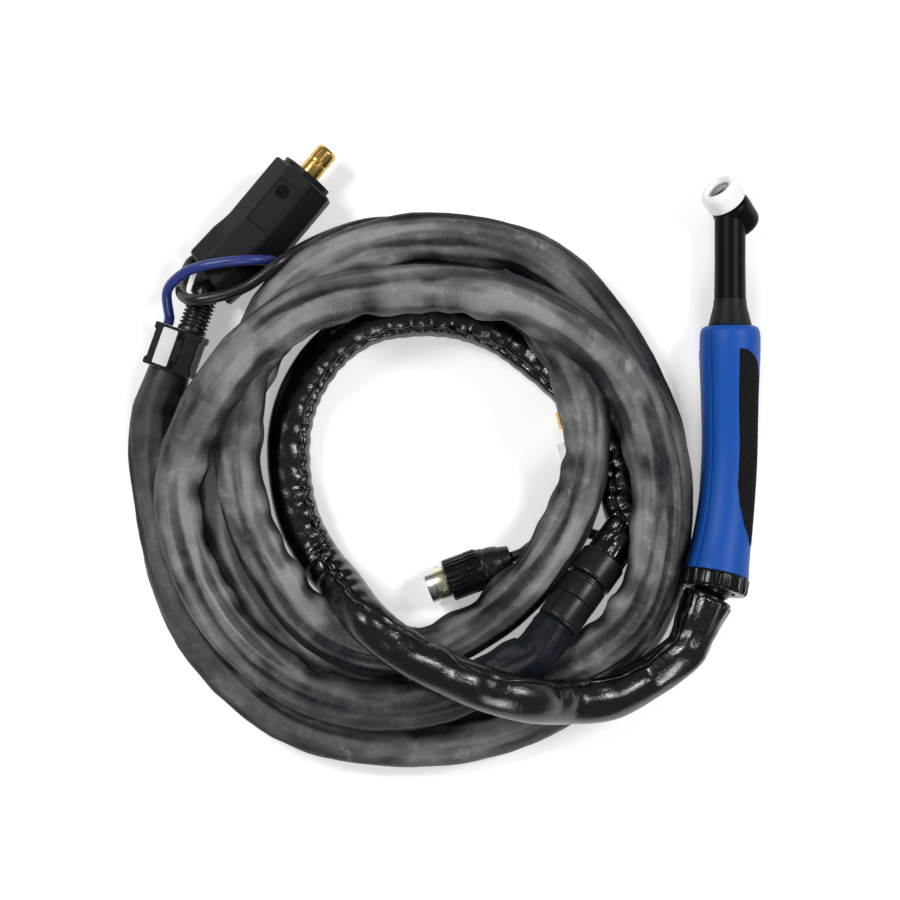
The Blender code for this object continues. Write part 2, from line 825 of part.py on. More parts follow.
def head_core(torch, head):
    """Brass body in the head, with the branch that the neck's pipe is brazed into."""
    rear = HEAD_BACK_LIP + GAP - HEAD_BACK
    front = HEAD_FRONT + CORE_NOSE
    core = put("head_core", rod_shape(CORE_RADIUS, rear, front), head, brass())
    to_rear = math.pi / 2
    branch = put(
        "core_branch", rod_shape(SLEEVE_RADIUS, 0.0, SLEEVE_LENGTH, 24), torch, None, (0, HEAD_REACH, 0), (to_rear, 0, 0)
    )
    socket = put(
        "core_socket",
        rod_shape(PIPE_RADIUS + FIT, SLEEVE_LENGTH - SOCKET_DEPTH, SLEEVE_LENGTH + OVERCUT, SMALL_SEGMENTS),
        torch,
        None,
        (0, HEAD_REACH, 0),
        (to_rear, 0, 0),
    )
    passage = put(
        "core_passage", rod_shape(GAS_HOLE, CORE_BORE / 2, SLEEVE_LENGTH, 14), torch, None, (0, HEAD_REACH, 0), (to_rear, 0, 0)
    )
    bore = put("core_bore", rod_shape(CORE_BORE, rear - OVERCUT, front + OVERCUT), head)
    fuse(core, branch)
    return cut(core, bore, passage, socket)


def neck_cover(torch, head):
    """Moulded black cover over the head and the neck, with the spigot that the handle clamps."""
    flange_start = HANDLE_FRONT_WALL + GAP
    flange_end = flange_start + NECK_FLANGE_WIDTH
    round_start = HEAD_BACK - HEAD_ROUND
    shell = [
        (0.0, HEAD_FRONT),
        (HEAD_RADIUS, HEAD_FRONT),
        *[(x, y) for x, y in arc((HEAD_RADIUS - HEAD_ROUND, -round_start), HEAD_ROUND, 0, -90, 4)],
        (0.0, -HEAD_BACK),
    ]
    cover = put("neck_cover", turned_shape(shell), head, black_plastic())
    neck = [
        (0.0, HEAD_REACH),
        (NECK_RADIUS, HEAD_REACH),
        (NECK_RADIUS, HEAD_REACH / 2),
        (NECK_REAR_RADIUS, NECK_CONE_LENGTH),
        (NECK_CONE_RADIUS, GAP),
        (NECK_SPIGOT_RADIUS, GAP),
        (NECK_SPIGOT_RADIUS, -flange_start),
        (NECK_FLANGE_RADIUS, -flange_start),
        (NECK_FLANGE_RADIUS, -flange_end),
        (NECK_SPIGOT_RADIUS, -flange_end),
        (NECK_SPIGOT_RADIUS, -NECK_SPIGOT_LENGTH),
        (0.0, -NECK_SPIGOT_LENGTH),
    ]
    forward = (-math.pi / 2, 0, 0)
    neck_body = put("neck_body", turned_shape(neck), torch, None, (0, 0, 0), forward)
    bore_rear = HEAD_BACK_LIP - HEAD_BACK
    bore = [
        (0.0, HEAD_FRONT + OVERCUT),
        (CORE_RADIUS + FIT, HEAD_FRONT + OVERCUT),
        (CORE_RADIUS + FIT, bore_rear),
        (BACK_MOUTH, bore_rear),
        (BACK_MOUTH, -HEAD_BACK - OVERCUT),
        (0.0, -HEAD_BACK - OVERCUT),
    ]
    head_bore = put("head_bore", turned_shape(bore), head)
    sleeve_rear = HEAD_REACH - SLEEVE_LENGTH - GAP
    pipe_bore = [
        (0.0, HEAD_REACH),
        (SLEEVE_RADIUS + FIT, HEAD_REACH),
        (SLEEVE_RADIUS + FIT, sleeve_rear),
        (PIPE_RADIUS + FIT, sleeve_rear),
        (PIPE_RADIUS + FIT, -NECK_SPIGOT_LENGTH - OVERCUT),
        (0.0, -NECK_SPIGOT_LENGTH - OVERCUT),
    ]
    neck_bore = put("neck_bore", turned_shape(pipe_bore), torch, None, (0, 0, 0), forward)
    face_room = put(
        "head_face_room", rod_shape(NECK_CONE_RADIUS, HEAD_FRONT, HEAD_FRONT + RING_HEIGHT), head
    )
    fuse(cover, neck_body)
    return cut(cover, face_room, head_bore, neck_bore)


def neck_tube(torch):
    """Copper pipe that carries current and gas through the neck."""
    front = HEAD_REACH - SLEEVE_LENGTH + SOCKET_DEPTH - GAP
    profile = ((PIPE_BORE, -PIPE_REAR), (PIPE_RADIUS, -PIPE_REAR), (PIPE_RADIUS, front), (PIPE_BORE, front))
    return put(
        "neck_tube", turned_shape(profile, SMALL_SEGMENTS), torch, copper(), (0, 0, 0), (-math.pi / 2, 0, 0)
    )


# ---------------------------------------------------------------- handle
def grown_outline(outline, by):
    """An outline of (x, y) points moved outwards by a distance."""
    count = len(outline)
    area = sum(
        outline[i - 1][0] * outline[i][1] - outline[i][0] * outline[i - 1][1] for i in range(count)
    )
    sense = 1 if area > 0 else -1
    moved = []
    for i in range(count):
        before, here, after = (Vector(outline[k % count]) for k in (i - 1, i, i + 1))
        first = (here - before).normalized()
        second = (after - here).normalized()
        out_first = Vector((first.y, -first.x)) * sense
        out_second = Vector((second.y, -second.x)) * sense
        middle = (out_first + out_second).normalized()
        moved.append(here + middle * by / max(0.5, middle.dot(out_first)))
    return moved


def grip_prism(side, by):
    """The grip's outline drawn out sideways."""
    outline = grown_outline(GRIP_OUTLINE, by)
    return lofted_shape(
        [[handle_point(along, side * reach, height) for along, height in outline] for reach in (GRIP_FLOOR, GRIP_REACH)]
    )


def grip_inlay(name, torch, side):
    """Soft grip let into one side of the handle."""
    inlay = put(name, grip_prism(side, 0.0), torch, soft_grip())
    outer = put(f"{name}_outer", handle_loft(handle_stations(GRIP_PROUD)), torch)
    inner = put(f"{name}_inner", handle_loft(handle_stations(-GRIP_DEPTH)), torch)
    keep(inlay, outer)
    return cut(inlay, inner)


def grip_recess(name, torch, side):
    """What the grip takes out of the shell."""
    recess = put(f"{name}_recess", grip_prism(side, FIT), torch)
    floor = put(f"{name}_floor", handle_loft(handle_stations(-GRIP_DEPTH - GAP)), torch)
    return cut(recess, floor)


def trigger_window(trigger):
    """The opening for the trigger in the handle."""
    return put(
        "trigger_window", extruded_shape(stadium(*TRIGGER_OPENING), LEG_BOTTOM, BUTTON_TOP + OVERCUT), trigger
    )


def handle_shell(name, torch, side, hollow, window):
    """One half of the handle: side is 1 for the right half and -1 for the left one."""
    stations = [
        *handle_stations(0.0),
        (HANDLE_LENGTH, HANDLE_SPIGOT_RADIUS),
        (HANDLE_LENGTH + HANDLE_SPIGOT_LENGTH, HANDLE_SPIGOT_RADIUS),
    ]
    shell = put(name, handle_loft(stations), torch, blue_plastic())
    reach = 2 * NUT_RADIUS
    length = HANDLE_LENGTH + reach
    edges = sorted((side * GAP / 2, -side * reach))
    other_half = put(f"{name}_other_half", box_shape((edges[0], -length, -reach), (edges[1], reach, 2 * reach)), torch)
    cut(shell, hollow, grip_recess(name, torch, side), window)
    return cut(shell, other_half)


def lock_screw_frame(torch):
    """Where the screw that clamps the neck stands: on the right side, pointing outwards."""
    return frame("lock_screw_place", handle_point(LOCK_PLACE, NECK_SPIGOT_RADIUS + GAP), (0, math.pi / 2, 0), torch)


def neck_lock_screw(place):
    """Set screw with a hexagon socket."""
    screw = put("neck_lock_screw", rod_shape(LOCK_RADIUS, GAP, LOCK_LENGTH, SMALL_SEGMENTS), place, steel())
    socket = put("lock_socket", rod_shape(LOCK_RADIUS / 2, LOCK_LENGTH / 2, LOCK_LENGTH + OVERCUT, 6), place)
    return cut(soften(screw, LOCK_RADIUS / 8), socket)


# ---------------------------------------------------------------- trigger
def trigger_frame(trigger):
    """Frame that snaps into the handle's window, guides the button and holds the switch."""
    length, width = (size - 2 * FIT for size in TRIGGER_OPENING)
    body = put("trigger_frame", extruded_shape(stadium(length, width), FRAME_BOTTOM, RIM_TOP), trigger, black_plastic())
    soften(body, GAP)
    slot_length, slot_width = (size + 2 * FIT for size in BUTTON_SIZE)
    slot = put("frame_slot", extruded_shape(stadium(slot_length, slot_width), 0.0, RIM_TOP + OVERCUT), trigger)
    pocket_size = [size + 2 * (BUTTON_FLANGE + FIT) for size in BUTTON_SIZE]
    pocket = put("frame_pocket", extruded_shape(stadium(*pocket_size), 0.0, RIM_TOP - RIM_HEIGHT), trigger)
    cut(body, slot, pocket)
    tab_width, tab_length = FRAME_TAB
    inner_end = pocket_size[0] / 2 + GAP
    outer_end = TRIGGER_OPENING[0] / 2 + tab_length
    for sign in (1, -1):
        ends = sorted((sign * inner_end, sign * outer_end))
        tab = put(
            f"frame_tab_{'rear' if sign > 0 else 'front'}",
            box_shape((-tab_width / 2, ends[0], FRAME_TAB_BOTTOM), (tab_width / 2, ends[1], FRAME_TAB_TOP)),
            trigger,
        )
        fuse(body, tab)
        inner = SWITCH_WIDTH / 2 + FIT
        sides = sorted((sign * inner, sign * (inner + LEG_WIDTH)))
        leg = put(
            f"frame_leg_{'right' if sign > 0 else 'left'}",
            box_shape((sides[0], -LEG_LENGTH / 2, LEG_BOTTOM), (sides[1], LEG_LENGTH / 2, FRAME_BOTTOM + OVERCUT)),
            trigger,
        )
        fuse(body, leg)
    return body


def trigger_button(trigger):
    """Button with a crowned top and a flange that keeps it in its frame."""
    flange_top = RIM_TOP - RIM_HEIGHT - GAP
    length, width = BUTTON_SIZE
    levels = (
        (flange_top - BUTTON_FLANGE_HEIGHT, BUTTON_FLANGE),
        (flange_top, BUTTON_FLANGE),
        (flange_top, 0.0),
        (BUTTON_TOP - BUTTON_CROWN, 0.0),
        (BUTTON_TOP - BUTTON_CROWN / 3, -BUTTON_CROWN),
        (BUTTON_TOP, -3 * BUTTON_CROWN),
    )
    rings = [
        [(x, y, height) for x, y in stadium(length + 2 * grow, width + 2 * grow)] for height, grow in levels
    ]
    return put("trigger_button", lofted_shape(rings), trigger, black_plastic())


def switch_body(trigger):
    """Micro switch under the button."""
    half = (SWITCH_WIDTH / 2, SWITCH_LENGTH / 2)
    return put(
        "switch_body",
        box_shape((-half[0], -half[1], SWITCH_BOTTOM), (half[0], half[1], SWITCH_TOP)),
        trigger,
        black_plastic(),
    )


def switch_leaf(trigger):
    """Spring leaf between the switch and the button."""
    width, length, thickness = LEAF_SIZE
    bottom = SWITCH_TOP + GAP
    return put(
        "switch_leaf",
        box_shape((-width / 2, -length / 2, bottom), (width / 2, length / 2, bottom + thickness)),
        trigger,
        steel(),
    )


# ---------------------------------------------------------------- inside the handle
def cable_connector(torch):
    """Brass joint between the neck's pipe and the lead."""
    profile = (
        (PIPE_RADIUS + FIT, CONNECTOR_FRONT),
        (CONNECTOR_RADIUS, CONNECTOR_FRONT),
        (CONNECTOR_RADIUS, CONNECTOR_REAR),
        (LEAD_RADIUS + FIT, CONNECTOR_REAR),
        (LEAD_RADIUS + FIT, LEAD_START - GAP),
        (CONNECTOR_BORE, LEAD_START - GAP),
        (CONNECTOR_BORE, PIPE_REAR + GAP),
        (PIPE_RADIUS + FIT, PIPE_REAR + GAP),
    )
    return put("cable_connector", turned_shape(profile, SMALL_SEGMENTS), torch, brass(), (0, 0, 0), (math.pi / 2, 0, 0))


def handle_lead(torch):
    """Power and gas lead through the handle."""
    count = 9
    points = [handle_point(LEAD_START + (LEAD_END - LEAD_START) * step / count) for step in range(count + 1)]
    return tube("handle_lead", points, LEAD_RADIUS, cable_rubber(), 3, torch)


# ---------------------------------------------------------------- ball joint
def collar_nut(joint):
    """Ribbed nut that holds the cup and the ball in the handle."""
    front = HANDLE_LENGTH + GAP - BALL_PLACE
    nut = put(
        "collar_nut",
        fluted_shape(NUT_RADIUS, NUT_FLUTE_DEPTH, NUT_FLUTES, front, NUT_REAR, NUT_CHAMFER),
        joint,
        gloss_black(),
    )
    bore_radius = HANDLE_SPIGOT_RADIUS + FIT
    lip = CUP_REAR + GAP
    bore = (
        (0.0, front - OVERCUT),
        (bore_radius, front - OVERCUT),
        (bore_radius, lip),
        (NUT_LIP_RADIUS, lip),
        (NUT_LIP_RADIUS, NUT_REAR + OVERCUT),
        (0.0, NUT_REAR + OVERCUT),
    )
    return cut(nut, put("nut_bore", turned_shape(bore), joint))


def ball_cup(joint):
    """Liner that the ball turns in."""
    radius = BALL_RADIUS + FIT
    start = math.degrees(math.asin(-CUP_FRONT / radius))
    end = math.degrees(math.asin(CUP_REAR / radius))
    profile = [(CUP_RADIUS, CUP_REAR), (CUP_RADIUS, -CUP_FRONT), *arc((0.0, 0.0), radius, start, end, 6)]
    return put("ball_cup", turned_shape(profile), joint, black_plastic())


def swivel_ball(cuff):
    """Ball with the tail that the cable set hangs on."""
    tail_start = math.degrees(math.acos(TAIL_RADIUS / BALL_RADIUS))
    nose = -math.degrees(math.acos(BALL_BORE / BALL_RADIUS))
    tail_end = CUFF_END - GAP
    profile = [
        *arc((0.0, 0.0), BALL_RADIUS, nose, tail_start, 9),
        (TAIL_RADIUS, tail_end),
        (BALL_BORE, tail_end),
    ]
    return put("swivel_ball", turned_shape(profile), cuff, gloss_black())


def cover_cuff(cuff):
    """Cuff that clamps the leather cover on the ball's tail."""
    profile = (
        (TAIL_RADIUS + FIT, CUFF_START),
        (CUFF_RADIUS, CUFF_START),
        (CUFF_RADIUS, CUFF_START + CUFF_RIM),
        (COVER_RADIUS, CUFF_END),
        (TAIL_RADIUS + FIT, CUFF_END),
    )
    return put("cover_cuff", turned_shape(profile), cuff, gloss_black())


# ---------------------------------------------------------------- cover, coupler and sheath
def leather_cover():
    """Leather sleeve round the leads, from the cuff to the coupler."""
    ball = torch_matrix() @ handle_point(BALL_PLACE)
    start = straight_on(ball, CUFF_AXIS, CUFF_END + GAP)
    end = straight_on(COUPLER_TOP, COUPLER_AXIS, GAP)
    straight = 2 * COVER_RADIUS
    points = [
        start,
        straight_on(start, CUFF_AXIS, straight),
        *COVER_ROUTE,
        straight_on(end, COUPLER_AXIS, straight),
        end,
    ]
    return tube("leather_cover", laid(smooth_route(points, 2), COVER_RADIUS), COVER_RADIUS, leather(), COVER_SIDES)


def coupler_frame():
    """Its upper end face, with local Z pointing down the coupler."""
    return frame("coupler_place", COUPLER_TOP, facing([-part for part in COUPLER_AXIS]))


def coupler_sleeve(name, coupler, radius, start, length, spigot_at_end):
    """One of the coupler's end sleeves, bored for the body's spigot."""
    end = start + length
    pocket = end - COUPLER_SPIGOT - GAP if spigot_at_end else start + COUPLER_SPIGOT + GAP
    socket = COUPLER_SPIGOT_RADIUS + FIT
    outside = [(radius - COUPLER_EDGE, start), (radius, start + COUPLER_EDGE), (radius, end - COUPLER_EDGE / 2)]
    outside.append((radius - COUPLER_EDGE / 2, end))
    bores = [(socket, end), (socket, pocket), (COUPLER_BORE, pocket), (COUPLER_BORE, start)]
    if not spigot_at_end:
        bores = [(COUPLER_BORE, end), (COUPLER_BORE, pocket), (socket, pocket), (socket, start)]
    return put(name, turned_shape(outside + bores), coupler, black_plastic())


def coupler_cap(coupler):
    return coupler_sleeve("coupler_cap", coupler, COUPLER_CAP_RADIUS, 0.0, COUPLER_CAP, True)


def coupler_tail(coupler):
    start = COUPLER_CAP + COUPLER_BODY + 2 * GAP
    return coupler_sleeve("coupler_tail", coupler, COUPLER_RADIUS, start, COUPLER_TAIL, False)


def coupler_body(coupler):
    """Middle of the coupler, with a spigot at each end and two fine grooves."""
    start = COUPLER_CAP + GAP
    end = start + COUPLER_BODY
    groove = start + 2 * COUPLER_EDGE
    profile = (
        (COUPLER_BORE, start - COUPLER_SPIGOT),
        (COUPLER_SPIGOT_RADIUS, start - COUPLER_SPIGOT),
        (COUPLER_SPIGOT_RADIUS, start),
        (COUPLER_RADIUS, start),
        (COUPLER_RADIUS, groove - COUPLER_GROOVE),
        (COUPLER_RADIUS - COUPLER_GROOVE, groove),
        (COUPLER_RADIUS, groove + COUPLER_GROOVE),
        (COUPLER_RADIUS, end),
        (COUPLER_SPIGOT_RADIUS, end),
        (COUPLER_SPIGOT_RADIUS, end + COUPLER_SPIGOT),
        (COUPLER_BORE, end + COUPLER_SPIGOT),
    )
    return put("coupler_body", turned_shape(profile), coupler, black_plastic())


def coupler_bottom():
    length = COUPLER_CAP + COUPLER_BODY + COUPLER_TAIL + 2 * GAP
    return straight_on(COUPLER_TOP, COUPLER_AXIS, -length)


def coil_stations():
    """The loops' middle at each twelfth of a turn."""
    stations = [station for turn in COIL_TURNS for station in turn]
    step = math.tau / COIL_STATIONS_PER_TURN
    first = math.radians(COIL_FIRST_ANGLE)
    return [
        Vector(
            (
                COIL_CENTRE[0] + radius * math.cos(first + step * index),
                COIL_CENTRE[1] + radius * math.sin(first + step * index),
                height,
            )
        )
        for index, (radius, height) in enumerate(stations)
    ]


def relief_point(across, along, height):
    """A point beside the strain relief's middle, in the object's coordinates."""
    return Vector(RELIEF_PLACE) + Matrix.Rotation(RELIEF_YAW, 3, "Z") @ Vector((across, along, height))


def sheath_points():
    """From the strain relief through the loops to the coupler."""
    straight = 2 * SHEATH_RADIUS
    front = -RELIEF_SIZE[1] / 2 - GAP
    back_along = [-part for part in COUPLER_AXIS]
    end = straight_on(coupler_bottom(), back_along, GAP)
    points = [
        relief_point(0.0, front, SHEATH_RADIUS),
        relief_point(0.0, front - straight, SHEATH_RADIUS),
        *coil_stations(),
        straight_on(end, back_along, straight),
        end,
    ]
    return smooth_route(points, COIL_POINTS_PER_STATION)


def outer_sheath():
    """The long protective hose, as it lies: one unbroken tube."""
    points = laid(sheath_points(), SHEATH_RADIUS)
    gap = least_gap(points, SHEATH_RADIUS)
    print(f"outer_sheath: least gap to itself {1000 * gap:.2f} mm, wanted {1000 * LEAST_GAP:.2f} mm")
    return tube("outer_sheath", points, SHEATH_RADIUS, smoke_sheath(), 1)


# ---------------------------------------------------------------- strain relief
def relief_outline():
    """The block in plan: a flange at each end and a slightly narrower waist."""
    half_width = RELIEF_SIZE[0] / 2
    half_length = RELIEF_SIZE[1] / 2
    waist = half_width - RELIEF_WAIST
    step = half_length - RELIEF_FLANGE
    right = [(half_width, -half_length), (half_width, -step), (waist, -step), (waist, step), (half_width, step)]
    right.append((half_width, half_length))
    return right + [(-x, y) for x, y in reversed(right)]


def screw_tools(relief):
    """Stepped holes for the strain relief's screws."""
    top = RELIEF_SIZE[2]
    seat = top - SCREW_HEAD_HEIGHT - GAP
    profile = (
        (0.0, SCREW_BOTTOM - GAP),
        (SCREW_SHANK_RADIUS + FIT, SCREW_BOTTOM - GAP),
        (SCREW_SHANK_RADIUS + FIT, seat - GAP),
        (SCREW_HEAD_RADIUS + FIT, seat - GAP),
        (SCREW_HEAD_RADIUS + FIT, top + OVERCUT),
        (0.0, top + OVERCUT),
    )
    return [
        put(f"{name}_hole", turned_shape(profile, SMALL_SEGMENTS), relief, None, (x, y, 0))
        for name, x, y in RELIEF_SCREW_PLACES
    ]


def strain_relief(relief):
    """Two halves that clamp the hose, the cable and the sheath."""
    holes = screw_tools(relief)
    bottom_top = RELIEF_SPLIT - GAP / 2
    bottom = put(
        "strain_relief_bottom", extruded_shape(relief_outline(), 0.0, bottom_top), relief, black_plastic()
    )
    top = put(
        "strain_relief_top",
        extruded_shape(relief_outline(), RELIEF_SPLIT + GAP / 2, RELIEF_SIZE[2]),
        relief,
        black_plastic(),
    )
    width, length, depth = RELIEF_WINDOW
    for index, (x, y) in enumerate(RELIEF_WINDOW_PLACES):
        low = (x - width / 2, y - length / 2, RELIEF_SIZE[2] - depth)
        high = (x + width / 2, y + length / 2, RELIEF_SIZE[2] + OVERCUT)
        holes.append(put(f"relief_window_{index}", box_shape(low, high), relief))
    cut(soften(bottom, RELIEF_EDGE), *holes[:2])
    cut(soften(top, RELIEF_EDGE), *holes)
    return bottom, top


def strain_screw(name, relief, x, y):
    """Screw with a slotted head."""
    top = RELIEF_SIZE[2] - GAP
    neck = top - SCREW_HEAD_HEIGHT
    profile = (
        (0.0, SCREW_BOTTOM),
        (SCREW_SHANK_RADIUS, SCREW_BOTTOM),
        (SCREW_SHANK_RADIUS, neck),
        (SCREW_HEAD_RADIUS, neck),
        (SCREW_HEAD_RADIUS, top),
        (0.0, top),
    )
    screw = put(name, turned_shape(profile, SMALL_SEGMENTS), relief, steel(), (x, y, 0))
    reach = 2 * SCREW_HEAD_RADIUS
    low = (-SCREW_SLOT / 2, -reach, top - SCREW_HEAD_HEIGHT / 2)
    high = (SCREW_SLOT / 2, reach, top + OVERCUT)
    return cut(screw, put(f"{name}_slot", box_shape(low, high), relief, None, (x, y, 0)))


# ---------------------------------------------------------------- power plug
def octagon(middle, turn, width, low, high):
    """An upright eight-sided ring across the plug, as (x, y, z) points."""
    height = high - low
    side = math.tan(math.pi / 8)
    half_width = width / 2
    half_height = height / 2
    corners = [
        (half_width, -side * half_height),
        (half_width, side * half_height),
        (side * half_width, half_height),
        (-side * half_width, half_height),
        (-half_width, side * half_height),
        (-half_width, -side * half_height),
        (-side * half_width, -half_height),
        (side * half_width, -half_height),
    ]
    back = math.sin(turn)
    along = math.cos(turn)
    return [
        (middle[0] + back * y, middle[1] + along * y, low + half_height + z) for y, z in corners
    ]


def boot_start():
    """Where the boot meets the strain relief."""
    across, height = POWER_EXIT
    return relief_point(across, RELIEF_SIZE[1] / 2 + GAP, height)


def boot_direction():
    """Square out of the strain relief."""
    return Matrix.Rotation(RELIEF_YAW, 3, "Z") @ Vector((0.0, 1.0, 0.0))


def boot_frame():
    return frame("boot_place", boot_start(), facing(boot_direction()))


def plug_housing(plug, boot):
    """Eight-sided plug body whose tail bends aside and lifts off the ground."""
    floor = -PLUG_FRONT[2]
    top = floor + PLUG_ACROSS
    tail_x, tail_y = PLUG_TAIL
    tail_low = floor + PLUG_TAIL_RISE
    tail_high = tail_low + PLUG_TAIL_SIZE[1]

    def station(distance, low, high, width):
        share = (distance - PLUG_KINK) / (tail_x - PLUG_KINK)
        return octagon((-distance, share * tail_y), share * PLUG_TAIL_TURN, width, low, high)

    rings = [
        octagon((0.0, 0.0), 0.0, PLUG_ACROSS, floor, top),
        octagon((-PLUG_KINK, 0.0), 0.0, PLUG_ACROSS, floor, top),
        station(PLUG_RISE_START, floor, top, PLUG_ACROSS),
        station(PLUG_RISE_END, tail_low, top, PLUG_ACROSS),
        station(tail_x, tail_low, tail_high, PLUG_TAIL_SIZE[0]),
    ]
    housing = put("plug_housing", lofted_shape(rings), plug, black_plastic())
    soften(housing, PLUG_EDGE)
    collar_start = BOOT_LENGTH + GAP
    collar = put("plug_collar", rod_shape(COLLAR_RADIUS, collar_start, collar_start + COLLAR_LENGTH), boot)
    cable_end = collar_start + POWER_CABLE_DEPTH + GAP
    cable_bore = put("plug_cable_bore", rod_shape(POWER_BORE, collar_start - OVERCUT, cable_end), boot)
    panel_length, panel_width, panel_depth = PANEL_SIZE
    x, y = PANEL_PLACE
    panel = put(
        "plug_panel",
        box_shape(
            (x - panel_length / 2, y - panel_width / 2, top - panel_depth),
            (x + panel_length / 2, y + panel_width / 2, top + OVERCUT),
        ),
        plug,
    )
    badge_floor = top - panel_depth - BADGE_DEPTH
    badge = put("plug_badge", rod_shape(BADGE_RADIUS, badge_floor, top + OVERCUT), plug, None, (*BADGE_PLACE, 0))
    seat = put(
        "plug_seat",
        rod_shape(DISC_SPIGOT_RADIUS + FIT, -OVERCUT, DISC_SPIGOT + GAP),
        plug,
        None,
        (0, 0, 0),
        (0, -math.pi / 2, 0),
    )
    fuse(housing, collar)
    return cut(housing, cable_bore, panel, badge, seat)


def plug_front_disc(plug):
    """Disc that closes the housing's front and carries the pin."""
    hole = PIN_RADIUS + FIT
    profile = (
        (hole, -DISC_SPIGOT),
        (DISC_SPIGOT_RADIUS, -DISC_SPIGOT),
        (DISC_SPIGOT_RADIUS, GAP),
        (DISC_RADIUS, GAP),
        (DISC_RADIUS, DISC_PROUD),
        (hole, DISC_PROUD),
    )
    return put("plug_front_disc", turned_shape(profile), plug, black_plastic(), (0, 0, 0), (0, math.pi / 2, 0))


def plug_pin(plug):
    """Brass pin with the key that turns and locks in a socket."""
    profile = (
        (0.0, -PIN_ROOT),
        (PIN_RADIUS, -PIN_ROOT),
        (PIN_RADIUS, PIN_REACH - PIN_CHAMFER),
        (PIN_RADIUS - PIN_CHAMFER, PIN_REACH),
        (0.0, PIN_REACH),
    )
    pin = put("plug_pin", turned_shape(profile), plug, brass(), (0, 0, 0), (0, math.pi / 2, 0))
    length, width, height = PIN_KEY
    key = put(
        "pin_key",
        box_shape(
            (PIN_KEY_PLACE - length / 2, -width / 2, 0.0),
            (PIN_KEY_PLACE + length / 2, width / 2, PIN_RADIUS + height),
        ),
        plug,
    )
    return fuse(pin, key)


def cable_boot(boot):
    """Ribbed boot round the power cable."""
    ribs = []
    pitch = (BOOT_LENGTH - 2 * BOOT_END) / (2 * BOOT_RIBS - 1)
    for index in range(BOOT_RIBS):
        start = BOOT_END + 2 * index * pitch
        ribs += [(BOOT_NECK_RADIUS, start), (BOOT_RADIUS, start + pitch / 3)]
        ribs += [(BOOT_RADIUS, start + 2 * pitch / 3), (BOOT_NECK_RADIUS, start + pitch)]
    profile = [(POWER_BORE, 0.0), (BOOT_RADIUS, 0.0), (BOOT_RADIUS, BOOT_END - pitch / 2)]
    profile += ribs
    profile += [(BOOT_RADIUS, BOOT_LENGTH - BOOT_END + pitch / 2), (BOOT_RADIUS, BOOT_LENGTH)]
    profile.append((POWER_BORE, BOOT_LENGTH))
    return put("cable_boot", turned_shape(profile, SMALL_SEGMENTS), boot, cable_rubber())


def power_cable():
    """Short power cable inside the boot, up to the plug."""
    start = boot_start()
    end = straight_on(start, boot_direction(), BOOT_LENGTH + GAP + POWER_CABLE_DEPTH)
    points = [start.lerp(end, share) for share in (0.0, 0.5, 1.0)]
    return tube("power_cable", points, POWER_CABLE_RADIUS, cable_rubber())


# ---------------------------------------------------------------- control plug
def bayonet_sleeve(plug):
    """Metal sleeve with a stepped rim."""
    step = BAYONET_RADIUS - BAYONET_RIM / 3
    profile = (
        (BAYONET_BORE, -BAYONET_LENGTH),
        (BAYONET_RADIUS, -BAYONET_LENGTH),
        (BAYONET_RADIUS, -2 * BAYONET_RIM),
        (step, -2 * BAYONET_RIM),
        (step, -BAYONET_RIM),
        (BAYONET_RADIUS, -BAYONET_RIM),
        (BAYONET_RADIUS, 0.0),
        (BAYONET_BORE, 0.0),
    )
    return put("bayonet_sleeve", turned_shape(profile), plug, nickel())


def coupling_ring(plug):
    """Ring that turns the sleeve, fluted on its front part."""
    ring = put(
        "coupling_ring",
        fluted_shape(RING_TURN_RADIUS, RING_FLUTE_DEPTH, RING_FLUTES, -RING_FRONT - RING_GRIP, -RING_FRONT, RING_CHAMFER),
        plug,
        black_plastic(),
    )
    band_start = RING_FRONT + RING_GRIP - RING_CHAMFER
    band_radius = RING_TURN_RADIUS - 1.5 * RING_FLUTE_DEPTH
    band = put("ring_band", rod_shape(band_radius, -RING_REAR, -band_start), plug)
    seat = -BAYONET_LENGTH - GAP
    bore = (
        (0.0, OVERCUT - RING_FRONT),
        (BAYONET_RADIUS + FIT, OVERCUT - RING_FRONT),
        (BAYONET_RADIUS + FIT, seat),
        (BAYONET_BORE, seat),
        (BAYONET_BORE, -RING_REAR - OVERCUT),
        (0.0, -RING_REAR - OVERCUT),
    )
    return cut(fuse(ring, band), put("ring_bore", turned_shape(bore), plug))


def plug_insert(plug):
    """Insulating insert with the contact pins."""
    rear = -INSERT_REAR - INSERT_SPIGOT
    profile = (
        (0.0, rear),
        (INSERT_SPIGOT_RADIUS, rear),
        (INSERT_SPIGOT_RADIUS, -INSERT_REAR),
        (INSERT_RADIUS, -INSERT_REAR),
        (INSERT_RADIUS, -INSERT_FRONT),
        (0.0, -INSERT_FRONT),
    )
    insert = put("plug_insert", turned_shape(profile, SMALL_SEGMENTS), plug, black_plastic())
    for index in range(CONTACTS):
        angle = math.tau * index / CONTACTS
        place = (CONTACT_CIRCLE * math.cos(angle), CONTACT_CIRCLE * math.sin(angle), 0)
        pin = rod_shape(CONTACT_RADIUS, -INSERT_FRONT - CONTACT_RADIUS, CONTACT_LENGTH - INSERT_FRONT, 8)
        fuse(insert, put(f"contact_{index}", pin, plug, None, place))
    return insert


